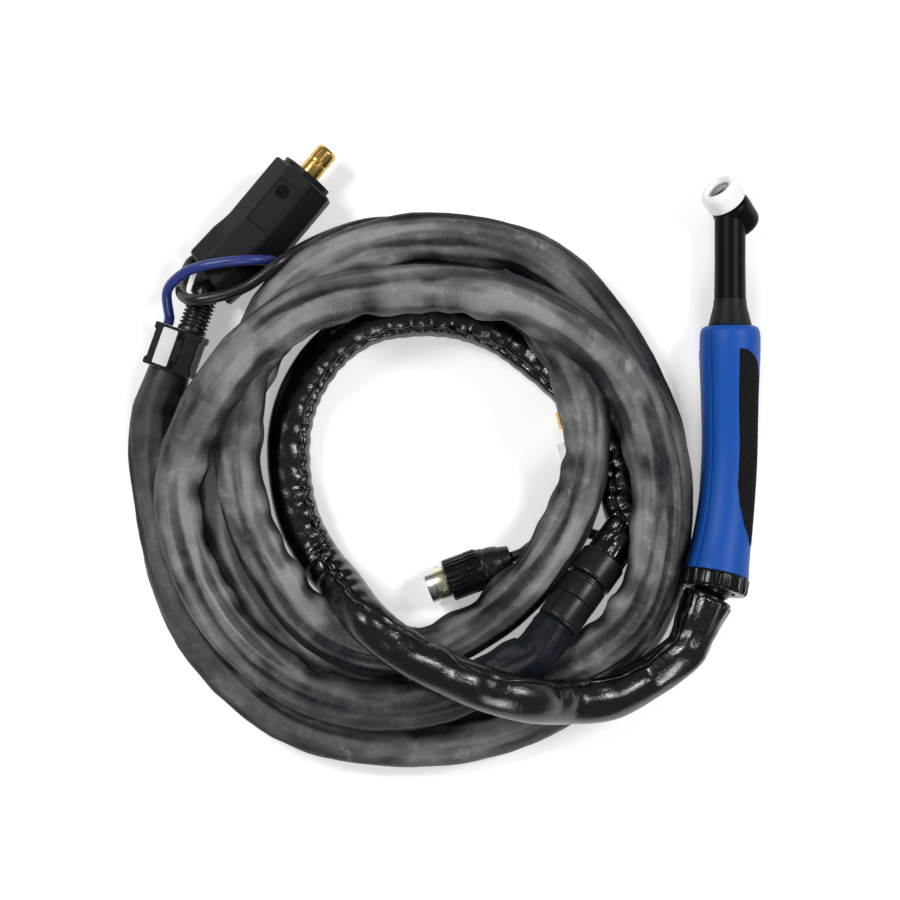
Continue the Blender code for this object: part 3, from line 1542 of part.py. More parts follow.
def connector_backshell(plug):
    """Shell behind the ring, with a groove."""
    start = -RING_REAR - GAP
    end = start - SHELL_LENGTH
    groove = start - SHELL_LENGTH / 3
    socket = -INSERT_REAR - INSERT_SPIGOT - GAP
    profile = (
        (INSERT_SPIGOT_RADIUS + FIT, start),
        (SHELL_RADIUS, start),
        (SHELL_RADIUS, groove),
        (SHELL_RADIUS - SHELL_GROOVE, groove - SHELL_GROOVE),
        (SHELL_RADIUS, groove - 2 * SHELL_GROOVE),
        (SHELL_REAR_RADIUS, end),
        (CONTROL_RADIUS, end),
        (CONTROL_RADIUS, socket),
        (INSERT_SPIGOT_RADIUS + FIT, socket),
    )
    return put("connector_backshell", turned_shape(profile), plug, black_plastic())


def cable_gland_nut(plug):
    """Gland nut that the control cable comes out of."""
    start = -RING_REAR - SHELL_LENGTH - 2 * GAP
    end = start - GLAND_LENGTH
    profile = (
        (CONTROL_RADIUS, start),
        (GLAND_RADIUS, start),
        (GLAND_RADIUS, start - GLAND_LENGTH / 2),
        (GLAND_REAR_RADIUS, end),
        (CONTROL_RADIUS, end),
    )
    return put("cable_gland_nut", turned_shape(profile, SMALL_SEGMENTS), plug, black_plastic())


# ---------------------------------------------------------------- control cable and gas hose
def control_cable():
    """From the strain relief under the boot, over the plug's tail and below the loops to the control plug."""
    across, height = CONTROL_EXIT
    start = relief_point(across, RELIEF_SIZE[1] / 2 + GAP, height)
    gland_end = RING_REAR + SHELL_LENGTH + GLAND_LENGTH + 3 * GAP
    end = straight_on(CONTROL_PLUG_PLACE, CONTROL_PLUG_AXIS, -gland_end)
    straight = 2 * CONTROL_RADIUS
    points = [start, *CONTROL_ROUTE, straight_on(end, CONTROL_PLUG_AXIS, -straight), end]
    return tube("control_cable", laid(smooth_route(points, 2), CONTROL_RADIUS), CONTROL_RADIUS, cable_rubber())


def gas_hose():
    """From the strain relief over the plug's tail and below the loops to its fitting."""
    across, height = GAS_EXIT
    start = relief_point(across, RELIEF_SIZE[1] / 2 + GAP, height)
    end = straight_on(FITTING_PLACE, FITTING_AXIS, FERRULE_LENGTH - GAP)
    out = straight_on(start, boot_direction(), 2 * GAS_RADIUS)
    points = [start, out, *GAS_ROUTE, straight_on(FITTING_PLACE, FITTING_AXIS, -2 * GAS_RADIUS), end]
    return tube("gas_hose", laid(smooth_route(points, 2), GAS_RADIUS), GAS_RADIUS, blue_hose())


def gas_ferrule(fitting):
    """Crimped ferrule on the hose's end."""
    bore = GAS_RADIUS + FIT
    profile = (
        (bore, 0.0),
        (FERRULE_RADIUS, 0.0),
        (FERRULE_RADIUS, FERRULE_LENGTH),
        (bore, FERRULE_LENGTH),
    )
    return put("gas_ferrule", turned_shape(profile, SMALL_SEGMENTS), fitting, brass())


def gas_nipple(fitting):
    """Nipple between the hose and the union nut."""
    start = FERRULE_LENGTH + GAP
    end = start + NIPPLE_LENGTH
    head = end - NIPPLE_HEAD
    profile = (
        (NIPPLE_BORE, start),
        (FERRULE_RADIUS, start),
        (FERRULE_RADIUS, start + UNION_LIP / 2),
        (NIPPLE_RADIUS, start + UNION_LIP / 2),
        (NIPPLE_RADIUS, head),
        (NIPPLE_HEAD_RADIUS, head),
        (NIPPLE_HEAD_RADIUS, head + NIPPLE_HEAD / 2),
        (NIPPLE_RADIUS, end),
        (NIPPLE_BORE, end),
    )
    return put("gas_nipple", turned_shape(profile, SMALL_SEGMENTS), fitting, brass())


def gas_union_nut(fitting):
    """Hexagon nut that turns freely round the nipple."""
    end = FERRULE_LENGTH + GAP + NIPPLE_LENGTH
    rear = end - NIPPLE_HEAD - GAP - UNION_LIP
    corner = UNION_ACROSS / 2 / math.cos(math.pi / 6)
    nut = put("gas_union_nut", rod_shape(corner, rear, rear + UNION_LENGTH, 6), fitting, nickel())
    nut.rotation_euler.z = math.pi / 6
    bore = (
        (0.0, rear - OVERCUT),
        (NIPPLE_RADIUS + FIT, rear - OVERCUT),
        (NIPPLE_RADIUS + FIT, rear + UNION_LIP),
        (UNION_BORE, rear + UNION_LIP),
        (UNION_BORE, rear + UNION_LENGTH + OVERCUT),
        (0.0, rear + UNION_LENGTH + OVERCUT),
    )
    return cut(nut, put("union_bore", turned_shape(bore, SMALL_SEGMENTS), fitting))


# ---------------------------------------------------------------- assembly
def build_torch():
    """Everything that moves with the handle, and the liner of its ball joint."""
    torch = frame("torch_place", torch_place(), (0, -TORCH_ROLL, 0))
    head = frame("head_place", (0, HEAD_REACH, 0), (HEAD_ANGLE - math.pi / 2, 0, 0), torch)
    trigger = frame("trigger_place", handle_point(TRIGGER_PLACE), (math.pi, 0, 0), torch)
    joint = frame("ball_place", handle_point(BALL_PLACE), facing(handle_rear_axis(), (1, 0, 0)), torch)
    cup_insulator(head)
    head_core(torch, head)
    neck_cover(torch, head)
    neck_tube(torch)
    hollow = put("handle_hollow", handle_loft(hollow_stations()), torch)
    window = trigger_window(trigger)
    lock = lock_screw_frame(torch)
    right = handle_shell("handle_shell_right", torch, 1, hollow, window)
    handle_shell("handle_shell_left", torch, -1, hollow, window)
    cut(right, put("lock_hole", rod_shape(LOCK_RADIUS + FIT, 0.0, 2 * LOCK_LENGTH, SMALL_SEGMENTS), lock))
    grip_inlay("grip_inlay_right", torch, 1)
    grip_inlay("grip_inlay_left", torch, -1)
    neck_lock_screw(lock)
    trigger_frame(trigger)
    trigger_button(trigger)
    switch_body(trigger)
    switch_leaf(trigger)
    cable_connector(torch)
    handle_lead(torch)
    collar_nut(joint)
    ball_cup(joint)


def build_cable_set():
    """Everything that the torch hangs on."""
    ball = torch_matrix() @ handle_point(BALL_PLACE)
    cuff = frame("cuff_place", ball, facing(CUFF_AXIS))
    swivel_ball(cuff)
    cover_cuff(cuff)
    leather_cover()
    coupler = coupler_frame()
    coupler_cap(coupler)
    coupler_body(coupler)
    coupler_tail(coupler)
    outer_sheath()
    relief = frame("relief_place", RELIEF_PLACE, (0, 0, RELIEF_YAW))
    strain_relief(relief)
    for name, x, y in RELIEF_SCREW_PLACES:
        strain_screw(name, relief, x, y)
    boot = boot_frame()
    plug = frame("plug_place", PLUG_FRONT, (0, 0, PLUG_YAW))
    plug_housing(plug, boot)
    plug_front_disc(plug)
    plug_pin(plug)
    cable_boot(boot)
    power_cable()
    control_plug = frame("control_plug_place", CONTROL_PLUG_PLACE, facing(CONTROL_PLUG_AXIS))
    bayonet_sleeve(control_plug)
    coupling_ring(control_plug)
    plug_insert(control_plug)
    connector_backshell(control_plug)
    cable_gland_nut(control_plug)
    control_cable()
    fitting = frame("fitting_place", FITTING_PLACE, facing(FITTING_AXIS))
    gas_hose()
    gas_ferrule(fitting)
    gas_nipple(fitting)
    gas_union_nut(fitting)


def main():
    start_clean()
    build_torch()
    build_cable_set()


main()
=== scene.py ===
import math

import bmesh
import bpy
from bpy.props import FloatProperty, FloatVectorProperty, IntProperty, PointerProperty
from mathutils import Matrix, Vector, noise


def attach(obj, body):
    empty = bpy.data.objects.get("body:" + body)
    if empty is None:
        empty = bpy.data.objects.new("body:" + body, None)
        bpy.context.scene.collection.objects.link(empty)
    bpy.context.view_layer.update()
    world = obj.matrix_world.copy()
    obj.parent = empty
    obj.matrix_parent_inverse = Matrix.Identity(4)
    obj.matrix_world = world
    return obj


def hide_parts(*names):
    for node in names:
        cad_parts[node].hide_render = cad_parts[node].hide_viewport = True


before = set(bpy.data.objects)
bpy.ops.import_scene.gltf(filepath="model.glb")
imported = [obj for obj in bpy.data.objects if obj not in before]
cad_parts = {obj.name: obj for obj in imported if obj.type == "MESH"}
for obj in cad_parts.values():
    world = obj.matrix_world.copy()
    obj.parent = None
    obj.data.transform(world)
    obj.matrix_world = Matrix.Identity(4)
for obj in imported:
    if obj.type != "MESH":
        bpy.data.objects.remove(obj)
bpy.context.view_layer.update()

bl_info = {
    "name": "TIG torch with coiled cable set",
    "version": (1, 0, 0),
    "blender": (4, 5, 0),
    "location": "View3D > Sidebar > TIG Torch",
    "description": "Dresses the packed model of a TIG torch and its cable set and sets up its studio",
    "category": "Object",
}

# ---------------------------------------------------------------- where the pieces lie, in metres
TORCH_PLACE = (0.0066, 0.0412, 0.0178)  # front of the handle, on its axis
TORCH_ROLL = math.radians(48)
HEAD_REACH = 0.0706
HEAD_ANGLE = math.radians(48.2)
HANDLE_LENGTH = 0.1467
HANDLE_BEND_START = 0.061
HANDLE_BEND_END = 0.137
HANDLE_BEND_RADIUS = 0.270
BALL_PLACE = 0.1514
HANDLE_FORM = (
    (0.0000, 0.0148), (0.0010, 0.0163), (0.0035, 0.0174), (0.0090, 0.0178), (0.0200, 0.0176),
    (0.0400, 0.0168), (0.0600, 0.0163), (0.0800, 0.0162), (0.0980, 0.0163), (0.1150, 0.0167),
    (0.1280, 0.0173), (0.1380, 0.0182), (0.1440, 0.0190), (0.1467, 0.0192),
)
GRIP_LOWER_EDGE = (
    (0.0137, 0.0085), (0.0142, 0.0045), (0.0175, -0.0010), (0.0225, -0.0055), (0.0300, -0.0078),
    (0.0500, -0.0082), (0.0800, -0.0084), (0.1060, -0.0087), (0.1275, -0.0092),
)
GRIP_UPPER_EDGE = (
    (0.0137, 0.0085), (0.0410, 0.0080), (0.0700, 0.0071), (0.0940, 0.0071), (0.1060, 0.0052),
    (0.1170, 0.0010), (0.1260, -0.0068), (0.1275, -0.0092),
)
CUFF_AXIS = (-0.4015, -0.9034, 0.1506)
CUFF_END = 0.0180
COVER_RADIUS = 0.0120
COVER_CROWN = 0.0116
COVER_START = 0.0118  # from the ball's centre, over the cuff
COVER_ROUTE = (
    (-0.0435, -0.1651, 0.0275), (-0.0665, -0.1751, 0.0370), (-0.0915, -0.1761, 0.0450),
    (-0.1135, -0.1721, 0.0650), (-0.1375, -0.1651, 0.0715), (-0.1625, -0.1561, 0.0615),
    (-0.1865, -0.1441, 0.0550), (-0.2065, -0.1281, 0.0530), (-0.2215, -0.1111, 0.0295),
    (-0.2355, -0.0961, 0.0130), (-0.2475, -0.0731, 0.0130), (-0.2535, -0.0471, 0.0120),
    (-0.2535, -0.0191, 0.0120), (-0.2455, 0.0059, 0.0120), (-0.2295, 0.0279, 0.0120),
    (-0.2065, 0.0429, 0.0120), (-0.1805, 0.0479, 0.0120), (-0.1535, 0.0469, 0.0120),
    (-0.1285, 0.0379, 0.0125), (-0.1065, 0.0219, 0.0190), (-0.0865, 0.0039, 0.0200),
    (-0.0685, -0.0161, 0.0155), (-0.0585, -0.0411, 0.0125), (-0.0565, -0.0621, 0.0155),
)
COUPLER_TOP = (-0.0685, -0.0951, 0.0275)
COUPLER_AXIS = (0.587, 0.755, -0.292)
COUPLER_LENGTH = 0.0486
SHEATH_RADIUS = 0.01225
COIL_CENTRE = (-0.1805, -0.0561)
COIL_TURNS = (  # radius and height at each twelfth of a turn, from the left round the bottom
    (0.1520, 0.0125), (0.1520, 0.0125), (0.1540, 0.0125), (0.1500, 0.0125), (0.1520, 0.0125),
    (0.1570, 0.0125), (0.1520, 0.0130), (0.1495, 0.0150), (0.1535, 0.0330), (0.1465, 0.0405),
    (0.1370, 0.0370), (0.1125, 0.0380), (0.0990, 0.0320), (0.0930, 0.0305), (0.0955, 0.0330),
    (0.0935, 0.0295), (0.0870, 0.0175), (0.0865, 0.0310), (0.0980, 0.0215), (0.1130, 0.0475),
    (0.1265, 0.0320), (0.1320, 0.0145), (0.1280, 0.0125), (0.1190, 0.0125), (0.1150, 0.0125),
    (0.1110, 0.0125), (0.1105, 0.0125), (0.1125, 0.0125), (0.1280, 0.0215), (0.1450, 0.0415),
    (0.1415, 0.0410), (0.1350, 0.0640), (0.1235, 0.0640), (0.1180, 0.0410), (0.1200, 0.0605),
    (0.1240, 0.0620), (0.1350, 0.0365), (0.1340, 0.0315), (0.1320, 0.0270), (0.1230, 0.0365),
)
RELIEF_PLACE = (-0.3206, 0.0272, 0.0)
RELIEF_YAW = math.radians(-19.4)
RELIEF_SIZE = (0.029, 0.0255, 0.027)
PLUG_FRONT = (-0.2443, 0.1277, 0.0197)
PLUG_YAW = math.atan2(0.767, 0.641)
BOOT_LENGTH = 0.0270
PLUG_TOP = 0.0196
PANEL_DEPTH = 0.0006
PANEL_CORNERS = ((-0.0395, -0.0057), (-0.0085, 0.0079))
BADGE_PLACE = (-0.0148, 0.0018)
BADGE_RADIUS = 0.0041
LINE_WIDTH = 0.0004
LINE_DEPTH = 0.0003
CONTROL_PLUG_PLACE = (-0.1713, -0.1135, 0.0129)
CONTROL_PLUG_AXIS = (-0.937, -0.349, 0.0)
CONTROL_PLUG_LENGTH = 0.0526
CONTROL_RADIUS = 0.00325
CONTROL_ROUTE = (
    (-0.3078, 0.0489, 0.0034), (-0.3055, 0.0590, 0.0034), (-0.3038, 0.0675, 0.0034),
    (-0.3030, 0.0745, 0.0034), (-0.3043, 0.0807, 0.0034), (-0.3088, 0.0832, 0.0034),
    (-0.3132, 0.0805, 0.0052), (-0.3150, 0.0755, 0.0095), (-0.3158, 0.0695, 0.0165),
    (-0.3160, 0.0634, 0.0250), (-0.3138, 0.0583, 0.0340), (-0.3082, 0.0547, 0.0410),
    (-0.3019, 0.0547, 0.0445), (-0.2943, 0.0557, 0.0455), (-0.2845, 0.0583, 0.0455),
    (-0.2745, 0.0626, 0.0450), (-0.2645, 0.0695, 0.0448), (-0.2558, 0.0770, 0.0430),
    (-0.2460, 0.0846, 0.0340), (-0.2351, 0.0925, 0.0200), (-0.2220, 0.0995, 0.0085),
    (-0.2063, 0.1043, 0.0033), (-0.1884, 0.1049, 0.0033), (-0.1725, 0.1039, 0.0033),
    (-0.1555, 0.1009, 0.0033), (-0.1405, 0.0934, 0.0033), (-0.1255, 0.0859, 0.0033),
    (-0.1045, 0.0759, 0.0033), (-0.0905, 0.0559, 0.0033), (-0.0785, 0.0349, 0.0033),
    (-0.0655, 0.0139, 0.0033), (-0.0530, -0.0061, 0.0033), (-0.0480, -0.0261, 0.0033),
    (-0.0448, -0.0461, 0.0033), (-0.0445, -0.0631, 0.0033), (-0.0525, -0.0781, 0.0033),
    (-0.0645, -0.0831, 0.0033), (-0.0775, -0.0811, 0.0033), (-0.0905, -0.0801, 0.0036),
    (-0.1035, -0.0841, 0.0070),
)
GAS_RADIUS = 0.0030
GAS_ROUTE = (
    (-0.3243, 0.0520, 0.0205), (-0.3245, 0.0576, 0.0240), (-0.3224, 0.0633, 0.0285),
    (-0.3170, 0.0682, 0.0330), (-0.3102, 0.0717, 0.0380), (-0.3007, 0.0742, 0.0425),
    (-0.2895, 0.0760, 0.0445), (-0.2786, 0.0771, 0.0450), (-0.2698, 0.0777, 0.0428),
    (-0.2630, 0.0780, 0.0370), (-0.2583, 0.0776, 0.0310), (-0.2547, 0.0770, 0.0230),
    (-0.2505, 0.0768, 0.0150), (-0.2455, 0.0770, 0.0095), (-0.2405, 0.0774, 0.0060),
    (-0.2305, 0.0794, 0.0033), (-0.2175, 0.0829, 0.0031), (-0.1935, 0.0874, 0.0031),
    (-0.1685, 0.0874, 0.0031), (-0.1440, 0.0834, 0.0031), (-0.1195, 0.0744, 0.0031),
    (-0.1065, 0.0599, 0.0031), (-0.1025, 0.0459, 0.0031), (-0.1045, 0.0339, 0.0031),
    (-0.1055, 0.0219, 0.0031), (-0.1005, 0.0129, 0.0031), (-0.0960, 0.0029, 0.0033),
)
FITTING_PLACE = (-0.0915, -0.0081, 0.0073)
FITTING_AXIS = (0.240, -0.971, 0.0)
FERRULE_START = 0.0087  # how far the gas hose goes into the fitting
CONTROL_OUT = (0.005, 0.0034)  # across and height on the strain relief's face
GAS_OUT = (-0.009, 0.018)
BOOT_OUT = (0.005, 0.0155)
SEAT_GAP = 0.0003  # between a piece and the one that it seats in
SHEATH_PITCH = 0.0024  # rings of the sheath's skin along its line
COVER_PITCH = 0.0016
LEAD_PITCH = 0.0020
LOOP_REACH = 0.034  # loops closer than this shape each other's skin
SLACK_END = 0.20  # the leather is slack up to here from the cuff, and gathered past it
SLACK_EASE = 0.10
COVER_BUNCH = 0.0026  # the leather's bunching at the cuff
OUTER_PILLOWS = (0.0128, 0.95, 3.0)  # pitch, spread and place in the noise, away from the loop's middle
INNER_PILLOWS = (0.0100, 0.70, 8.0)
SLACK_PITCH = 0.027  # of the slack leather's swells
STITCH_LENGTH = 0.0022
STITCH_RADIUS = 0.00024
GROUND_CLEAR = 0.0004  # skins stay this far above the ground
NUT_CLEAR, NUT_EASE = 0.030, 0.012  # the sheath's skin keeps to its round form near the union nut
CAMERA_PLACE = (-0.1585, -0.0316, 1.008)
CAMERA_ANGLE = math.radians(30)
LIGHT_AIM = (-0.16, -0.03, 0.0)
LIGHTS = (  # name, place, width, power in watts
    ("key_light", (-0.95, 0.55, 1.25), 0.40, 12.5),
    ("fill_light", (0.80, 0.40, 1.15), 0.34, 11.0),
    ("low_light", (-0.10, -1.15, 1.00), 0.36, 7.0),
)
WORLD_STRENGTH = 0.18
FLOOR_HALF = 6.0


# ---------------------------------------------------------------- profiles of (radius, height) in metres
NECK_PROFILE = (
    (0.0, 0.0706), (0.00905, 0.0706), (0.00905, 0.0353), (0.0094, 0.0124), (0.0122, 0.0010),
    (0.0122, 0.0003), (0.0104, 0.0003), (0.0104, -0.0145), (0.0, -0.0145),
)
HEAD_PROFILE = ((0.0, 0.0035), (0.0117, 0.0035), (0.0117, -0.0174), (0.0, -0.0174))
CONE_PROFILE = (
    (0.0085, 0.0160), (0.0096, 0.0160), (0.0098, 0.0122), (0.0126, 0.0012), (0.0126, 0.0003),
    (0.0100, 0.0003),
)
RING_PROFILE = (
    (0.0084, 0.0038), (0.01195, 0.0038), (0.01195, 0.0132), (0.0110, 0.0150), (0.0095, 0.0158),
    (0.0081, 0.0156), (0.0067, 0.0140), (0.0065, 0.0130), (0.00725, 0.0112), (0.00725, 0.0082),
    (0.0084, 0.0082),
)
NUT_REAR_PROFILE = ((0.0200, 0.0038), (0.0190, 0.0054), (0.0132, 0.0054), (0.0132, 0.0039), (0.0180, 0.0039))
NUT_FLUTE_DEPTH = 0.0011
CUFF_PROFILE = (
    (0.0090, 0.0096), (0.0143, 0.0096), (0.0143, 0.0125), (0.0132, 0.0133), (0.0129, 0.0160),
    (0.0120, 0.0180), (0.0090, 0.0180),
)
SHELL_FRONT_RADIUS = 0.0126
SHELL_GAP = 0.00018  # half the parting line's width
SHELL_EDGE = 0.0007  # the shells' edges round off over this width
SHELL_EDGE_DROP = 0.00035
SHELL_WALL = 0.0022
SHELL_RIM_RADIUS = 0.0180
SPIGOT_RADIUS = 0.0177
SPIGOT_END = 0.1540
GRIP_LIFT = 0.0013  # the grip's outline stands this much higher than its edges say
GRIP_PROUD = 0.00055
GRIP_EDGE_PROUD = 0.00035
GRIP_SUNK = (-0.0001, -0.0014)  # its two outer rows go down into the shell
BALL_RADIUS = 0.0125
BALL_BORE = 0.0063
TAIL_RADIUS = 0.0087
TAIL_END = 0.0177
CAP_PROFILE = (
    (0.0060, 0.0), (0.0128, 0.0), (0.0138, 0.0010), (0.0138, 0.0152), (0.0134, 0.0164), (0.0060, 0.0164),
)
BODY_PROFILE = (
    (0.0060, 0.0168), (0.0117, 0.0168), (0.0117, 0.0184), (0.0131, 0.0187), (0.0131, 0.0204),
    (0.0127, 0.0207), (0.0131, 0.0210), (0.0131, 0.0313), (0.0128, 0.0317), (0.0060, 0.0317),
)
TAIL_PROFILE = (
    (0.0060, 0.0322), (0.0129, 0.0322), (0.0130, 0.0326), (0.0130, 0.0470), (0.0122, 0.0486),
    (0.0060, 0.0486),
)
PIN_PROFILE = (
    (0.0, -0.0040), (0.0065, -0.0040), (0.0065, 0.0118), (0.0061, 0.0121), (0.0061, 0.0130),
    (0.0065, 0.0133), (0.0065, 0.0205), (0.0053, 0.0225), (0.0022, 0.0225), (0.0016, 0.0216),
    (0.0, 0.0214),
)
KEY_RADIUS = 0.0082
COUPLING_PROFILE = (
    (0.0095, -0.0124), (0.0121, -0.0124), (0.0128, -0.0132), (0.0127, -0.0322), (0.0120, -0.0332),
    (0.0120, -0.0344), (0.0080, -0.0344), (0.0080, -0.0209), (0.0095, -0.0205),
)
SLEEVE_PROFILE = (
    (0.0076, -0.0205), (0.0091, -0.0205), (0.0091, -0.0118), (0.0099, -0.0115), (0.0099, -0.0052),
    (0.0096, -0.0049), (0.0096, -0.0003), (0.0093, 0.0), (0.0076, 0.0),
)
BUSH_PROFILE = ((0.0004, 0.0094), (0.0011, 0.0094), (0.0011, 0.0102), (0.0004, 0.0102))
HOLE_PROFILE = ((0.0, 0.00995), (0.00055, 0.00995), (0.00055, 0.0096), (0.0, 0.0096))
FLUTE_DEPTH = 0.0010
KNURL_DEPTH = 0.00022
BAND_START = 0.0050  # the sleeve's yellowish band, from its front
BUSH_BACK = 0.0086  # from the sleeve's front
BACKSHELL_PROFILE = (
    (0.0040, -0.0343), (0.0113, -0.0343), (0.0115, -0.0352), (0.0115, -0.0366), (0.0108, -0.0370),
    (0.0106, -0.0415), (0.0097, -0.0450), (0.0090, -0.0464), (0.0040, -0.0464),
)
GLAND_PROFILE = (
    (0.0034, -0.0461), (0.0088, -0.0461), (0.0080, -0.0494), (0.0072, -0.0524), (0.0034, -0.0526),
)
LABEL_HALF = (0.0045, 0.0110)
LABEL_MIDDLE = (-0.0046, 0.0)
LABEL_CORNER = 0.0010
BOOT_RADIUS = 0.0085
BOOT_GROOVE = 0.0071
BOOT_RIM = 0.003  # plain length at each end of the boot
POWER_CABLE_RADIUS = 0.0057


# ---------------------------------------------------------------- sizes and colours to change
def length_property(name, description, default):
    return FloatProperty(
        name=name, description=description, default=default, min=0.0, unit="LENGTH", precision=5
    )


def colour_property(name, description, default):
    return FloatVectorProperty(
        name=name, description=description, default=default, size=3, min=0.0, max=1.0, subtype="COLOR"
    )


class TorchSizes(bpy.types.PropertyGroup):
    """Sizes that a user may change."""

    sheath_width: length_property("Sheath half width", "Half the width of the flattened hose", 0.0141)
    sheath_crown: length_property("Sheath crown", "Height of the hose's top above its middle", 0.0108)
    sheath_fold: length_property("Sheath folds", "Depth of the creases in the hose's skin", 0.0014)
    cover_width: length_property("Cover half width", "Half the width of the leather cover", 0.0128)
    cover_fold: length_property("Cover gathers", "Depth of the leather's gathers", 0.0014)
    seam_width: length_property("Welt radius", "Radius of the leather's welt", 0.0006)
    stitch_pitch: length_property("Stitch pitch", "Distance between stitches", 0.0036)
    nut_flutes: IntProperty(name="Nut ribs", description="Ribs round the collar nut", default=20, min=6)
    boot_ribs: IntProperty(name="Boot ribs", description="Ribs along the cable boot", default=9, min=3)
    ring_ribs: IntProperty(name="Ring ribs", description="Ribs round the coupling ring", default=24, min=6)


class TorchColours(bpy.types.PropertyGroup):
    """Colours that a user may change."""

    handle: colour_property("Handle", "Moulded handle shells", (0.007, 0.078, 0.385))
    grip: colour_property("Grip", "Soft grip inlays", (0.008, 0.0085, 0.009))
    moulding: colour_property("Moulding", "Black moulded parts", (0.0070, 0.0076, 0.0090))
    ceramic: colour_property("Ring", "White insulator ring", (0.95, 0.95, 0.95))
    # Hose is the pale grey of the painted highlight on the sheath's crown; Hose shade is its dark colour,
    # also its painted shade on the sides
    sheath: colour_property("Hose", "Smoky hose skin", (0.245, 0.247, 0.245))
    sheath_deep: colour_property("Hose shade", "Dark parts of the hose skin", (0.005, 0.008, 0.013))
    cover: colour_property("Leather", "Leather cover", (0.0014, 0.0015, 0.0020))
    jacket: colour_property("Cable", "Cable jackets", (0.007, 0.007, 0.008))
    hose: colour_property("Gas hose", "Gas hose", (0.010, 0.022, 0.155))
    brass: colour_property("Brass", "Brass parts", (0.68, 0.45, 0.13))
    nickel: colour_property("Nickel", "Plated parts", (0.74, 0.78, 0.77))


# ---------------------------------------------------------------- shader writing
class Value:
    """A number that varies over a surface. Each operation on it adds its node."""

    def __init__(self, shade, socket):
        self.shade = shade
        self.socket = socket

    def math(self, operation, *others, clamp=False):
        node = self.shade.node(
            "ShaderNodeMath",
            {"operation": operation, "use_clamp": clamp},
            {index: item for index, item in enumerate((self, *others))},
        )
        return Value(self.shade, node.outputs[0])

    def __add__(self, other):
        return self.math("ADD", other)

    __radd__ = __add__

    def __mul__(self, other):
        return self.math("MULTIPLY", other)

    __rmul__ = __mul__

    def __sub__(self, other):
        return self.math("SUBTRACT", other)

    def __rsub__(self, other):
        return self * -1.0 + other

    def clamped(self):
        return self.math("ADD", 0.0, clamp=True)

    def between(self, low, high):
        """0 below low, 1 above high and smooth between."""
        node = self.shade.node(
            "ShaderNodeMapRange", {"interpolation_type": "SMOOTHSTEP"}, {0: self, 1: low, 2: high}
        )
        return Value(self.shade, node.outputs[0])


class Shade:
    """A material whose nodes are written as expressions."""

    def __init__(self, name):
        self.material = bpy.data.materials.new(name)
        self.material.use_nodes = True
        self.tree = self.material.node_tree
        self.tree.nodes.clear()
        self.place = self.node("ShaderNodeTexCoord").outputs["Object"]

    def node(self, kind, settings=None, sockets=None):
        """A node of a kind: its settings are set first, then the values or links of its sockets."""
        made = self.tree.nodes.new(kind)
        for key, item in (settings or {}).items():
            setattr(made, key, item)
        for key, item in (sockets or {}).items():
            source = item.socket if isinstance(item, Value) else item
            if isinstance(source, bpy.types.NodeSocket):
                self.tree.links.new(source, made.inputs[key])
            else:
                made.inputs[key].default_value = source
        return made

    def grain(self, scale, detail=3.0, roughness=0.5, distortion=0.0):
        """Noise of a scale per metre."""
        sockets = {"Vector": self.place, "Scale": scale, "Detail": detail, "Roughness": roughness}
        node = self.node("ShaderNodeTexNoise", None, {**sockets, "Distortion": distortion})
        return Value(self, node.outputs[0])

    def cells(self, scale, feature="F1"):
        """Distance within cells of a scale per metre."""
        node = self.node("ShaderNodeTexVoronoi", {"feature": feature}, {"Vector": self.place, "Scale": scale})
        return Value(self, node.outputs["Distance"])

    def painted(self, name):
        """A value that the mesh carries."""
        node = self.node("ShaderNodeAttribute", {"attribute_name": name})
        return Value(self, node.outputs["Fac"])

    def mix(self, share, first, second):
        """A colour between two others."""
        colours = [(*item, 1.0) if isinstance(item, tuple) else item for item in (first, second)]
        node = self.node("ShaderNodeMix", {"data_type": "RGBA"}, {0: share, 6: colours[0], 7: colours[1]})
        return node.outputs[2]

    def bumped(self, height, distance):
        return self.node("ShaderNodeBump", None, {"Height": height, "Distance": distance}).outputs[0]

    def done(self, **sockets):
        """Closes the material with its Principled shader."""
        names = {key.replace("_", " ").title().replace("Ior", "IOR"): item for key, item in sockets.items()}
        shader = self.node("ShaderNodeBsdfPrincipled", None, names)
        self.node("ShaderNodeOutputMaterial", None, {"Surface": shader.outputs[0]})
        return self.material


def darker(colour, share):
    return tuple(part * share for part in colour)


def made_once(build):
    """Keeps a finish's material, so that every piece shares it."""
    kept = {}

    def finish():
        if build.__name__ not in kept:
            kept[build.__name__] = build(Shade(build.__name__))
        return kept[build.__name__]

    return finish


def colours():
    return bpy.context.scene.torch_colours


def sizes():
    return bpy.context.scene.torch_sizes


def moulded(shade, colour, roughness, texture=0.00004, wear=0.10, gloss=0.17):
    """Moulded plastic: fine spark-eroded texture, faint cloudy gloss and light rubbing."""
    cloud = shade.grain(38.0, 4.0)
    fine = shade.grain(2600.0, 2.0)
    scuff = shade.grain(160.0, 6.0, 0.7).between(0.60, 0.80)
    worn = tuple(0.02 + 0.80 * part for part in colour)
    return shade.done(
        base_color=shade.mix(scuff * wear + cloud * 0.12, colour, worn),
        roughness=cloud * 0.16 + scuff * 0.10 + (roughness - 0.08),
        specular_ior_level=gloss,
        normal=shade.bumped(fine + cloud * 0.8, texture),
    )


@made_once
def blue_moulding(shade):
    return moulded(shade, tuple(colours().handle), 0.42, 0.00006, 0.05)


@made_once
def black_moulding(shade):
    return moulded(shade, tuple(colours().moulding), 0.46, 0.00006)


@made_once
def gloss_moulding(shade):
    return moulded(shade, darker(colours().moulding, 0.60), 0.20, 0.00002, 0.04, 0.26)


@made_once
def satin_moulding(shade):
    return moulded(shade, tuple(colours().moulding), 0.33, 0.00004, 0.06, 0.30)


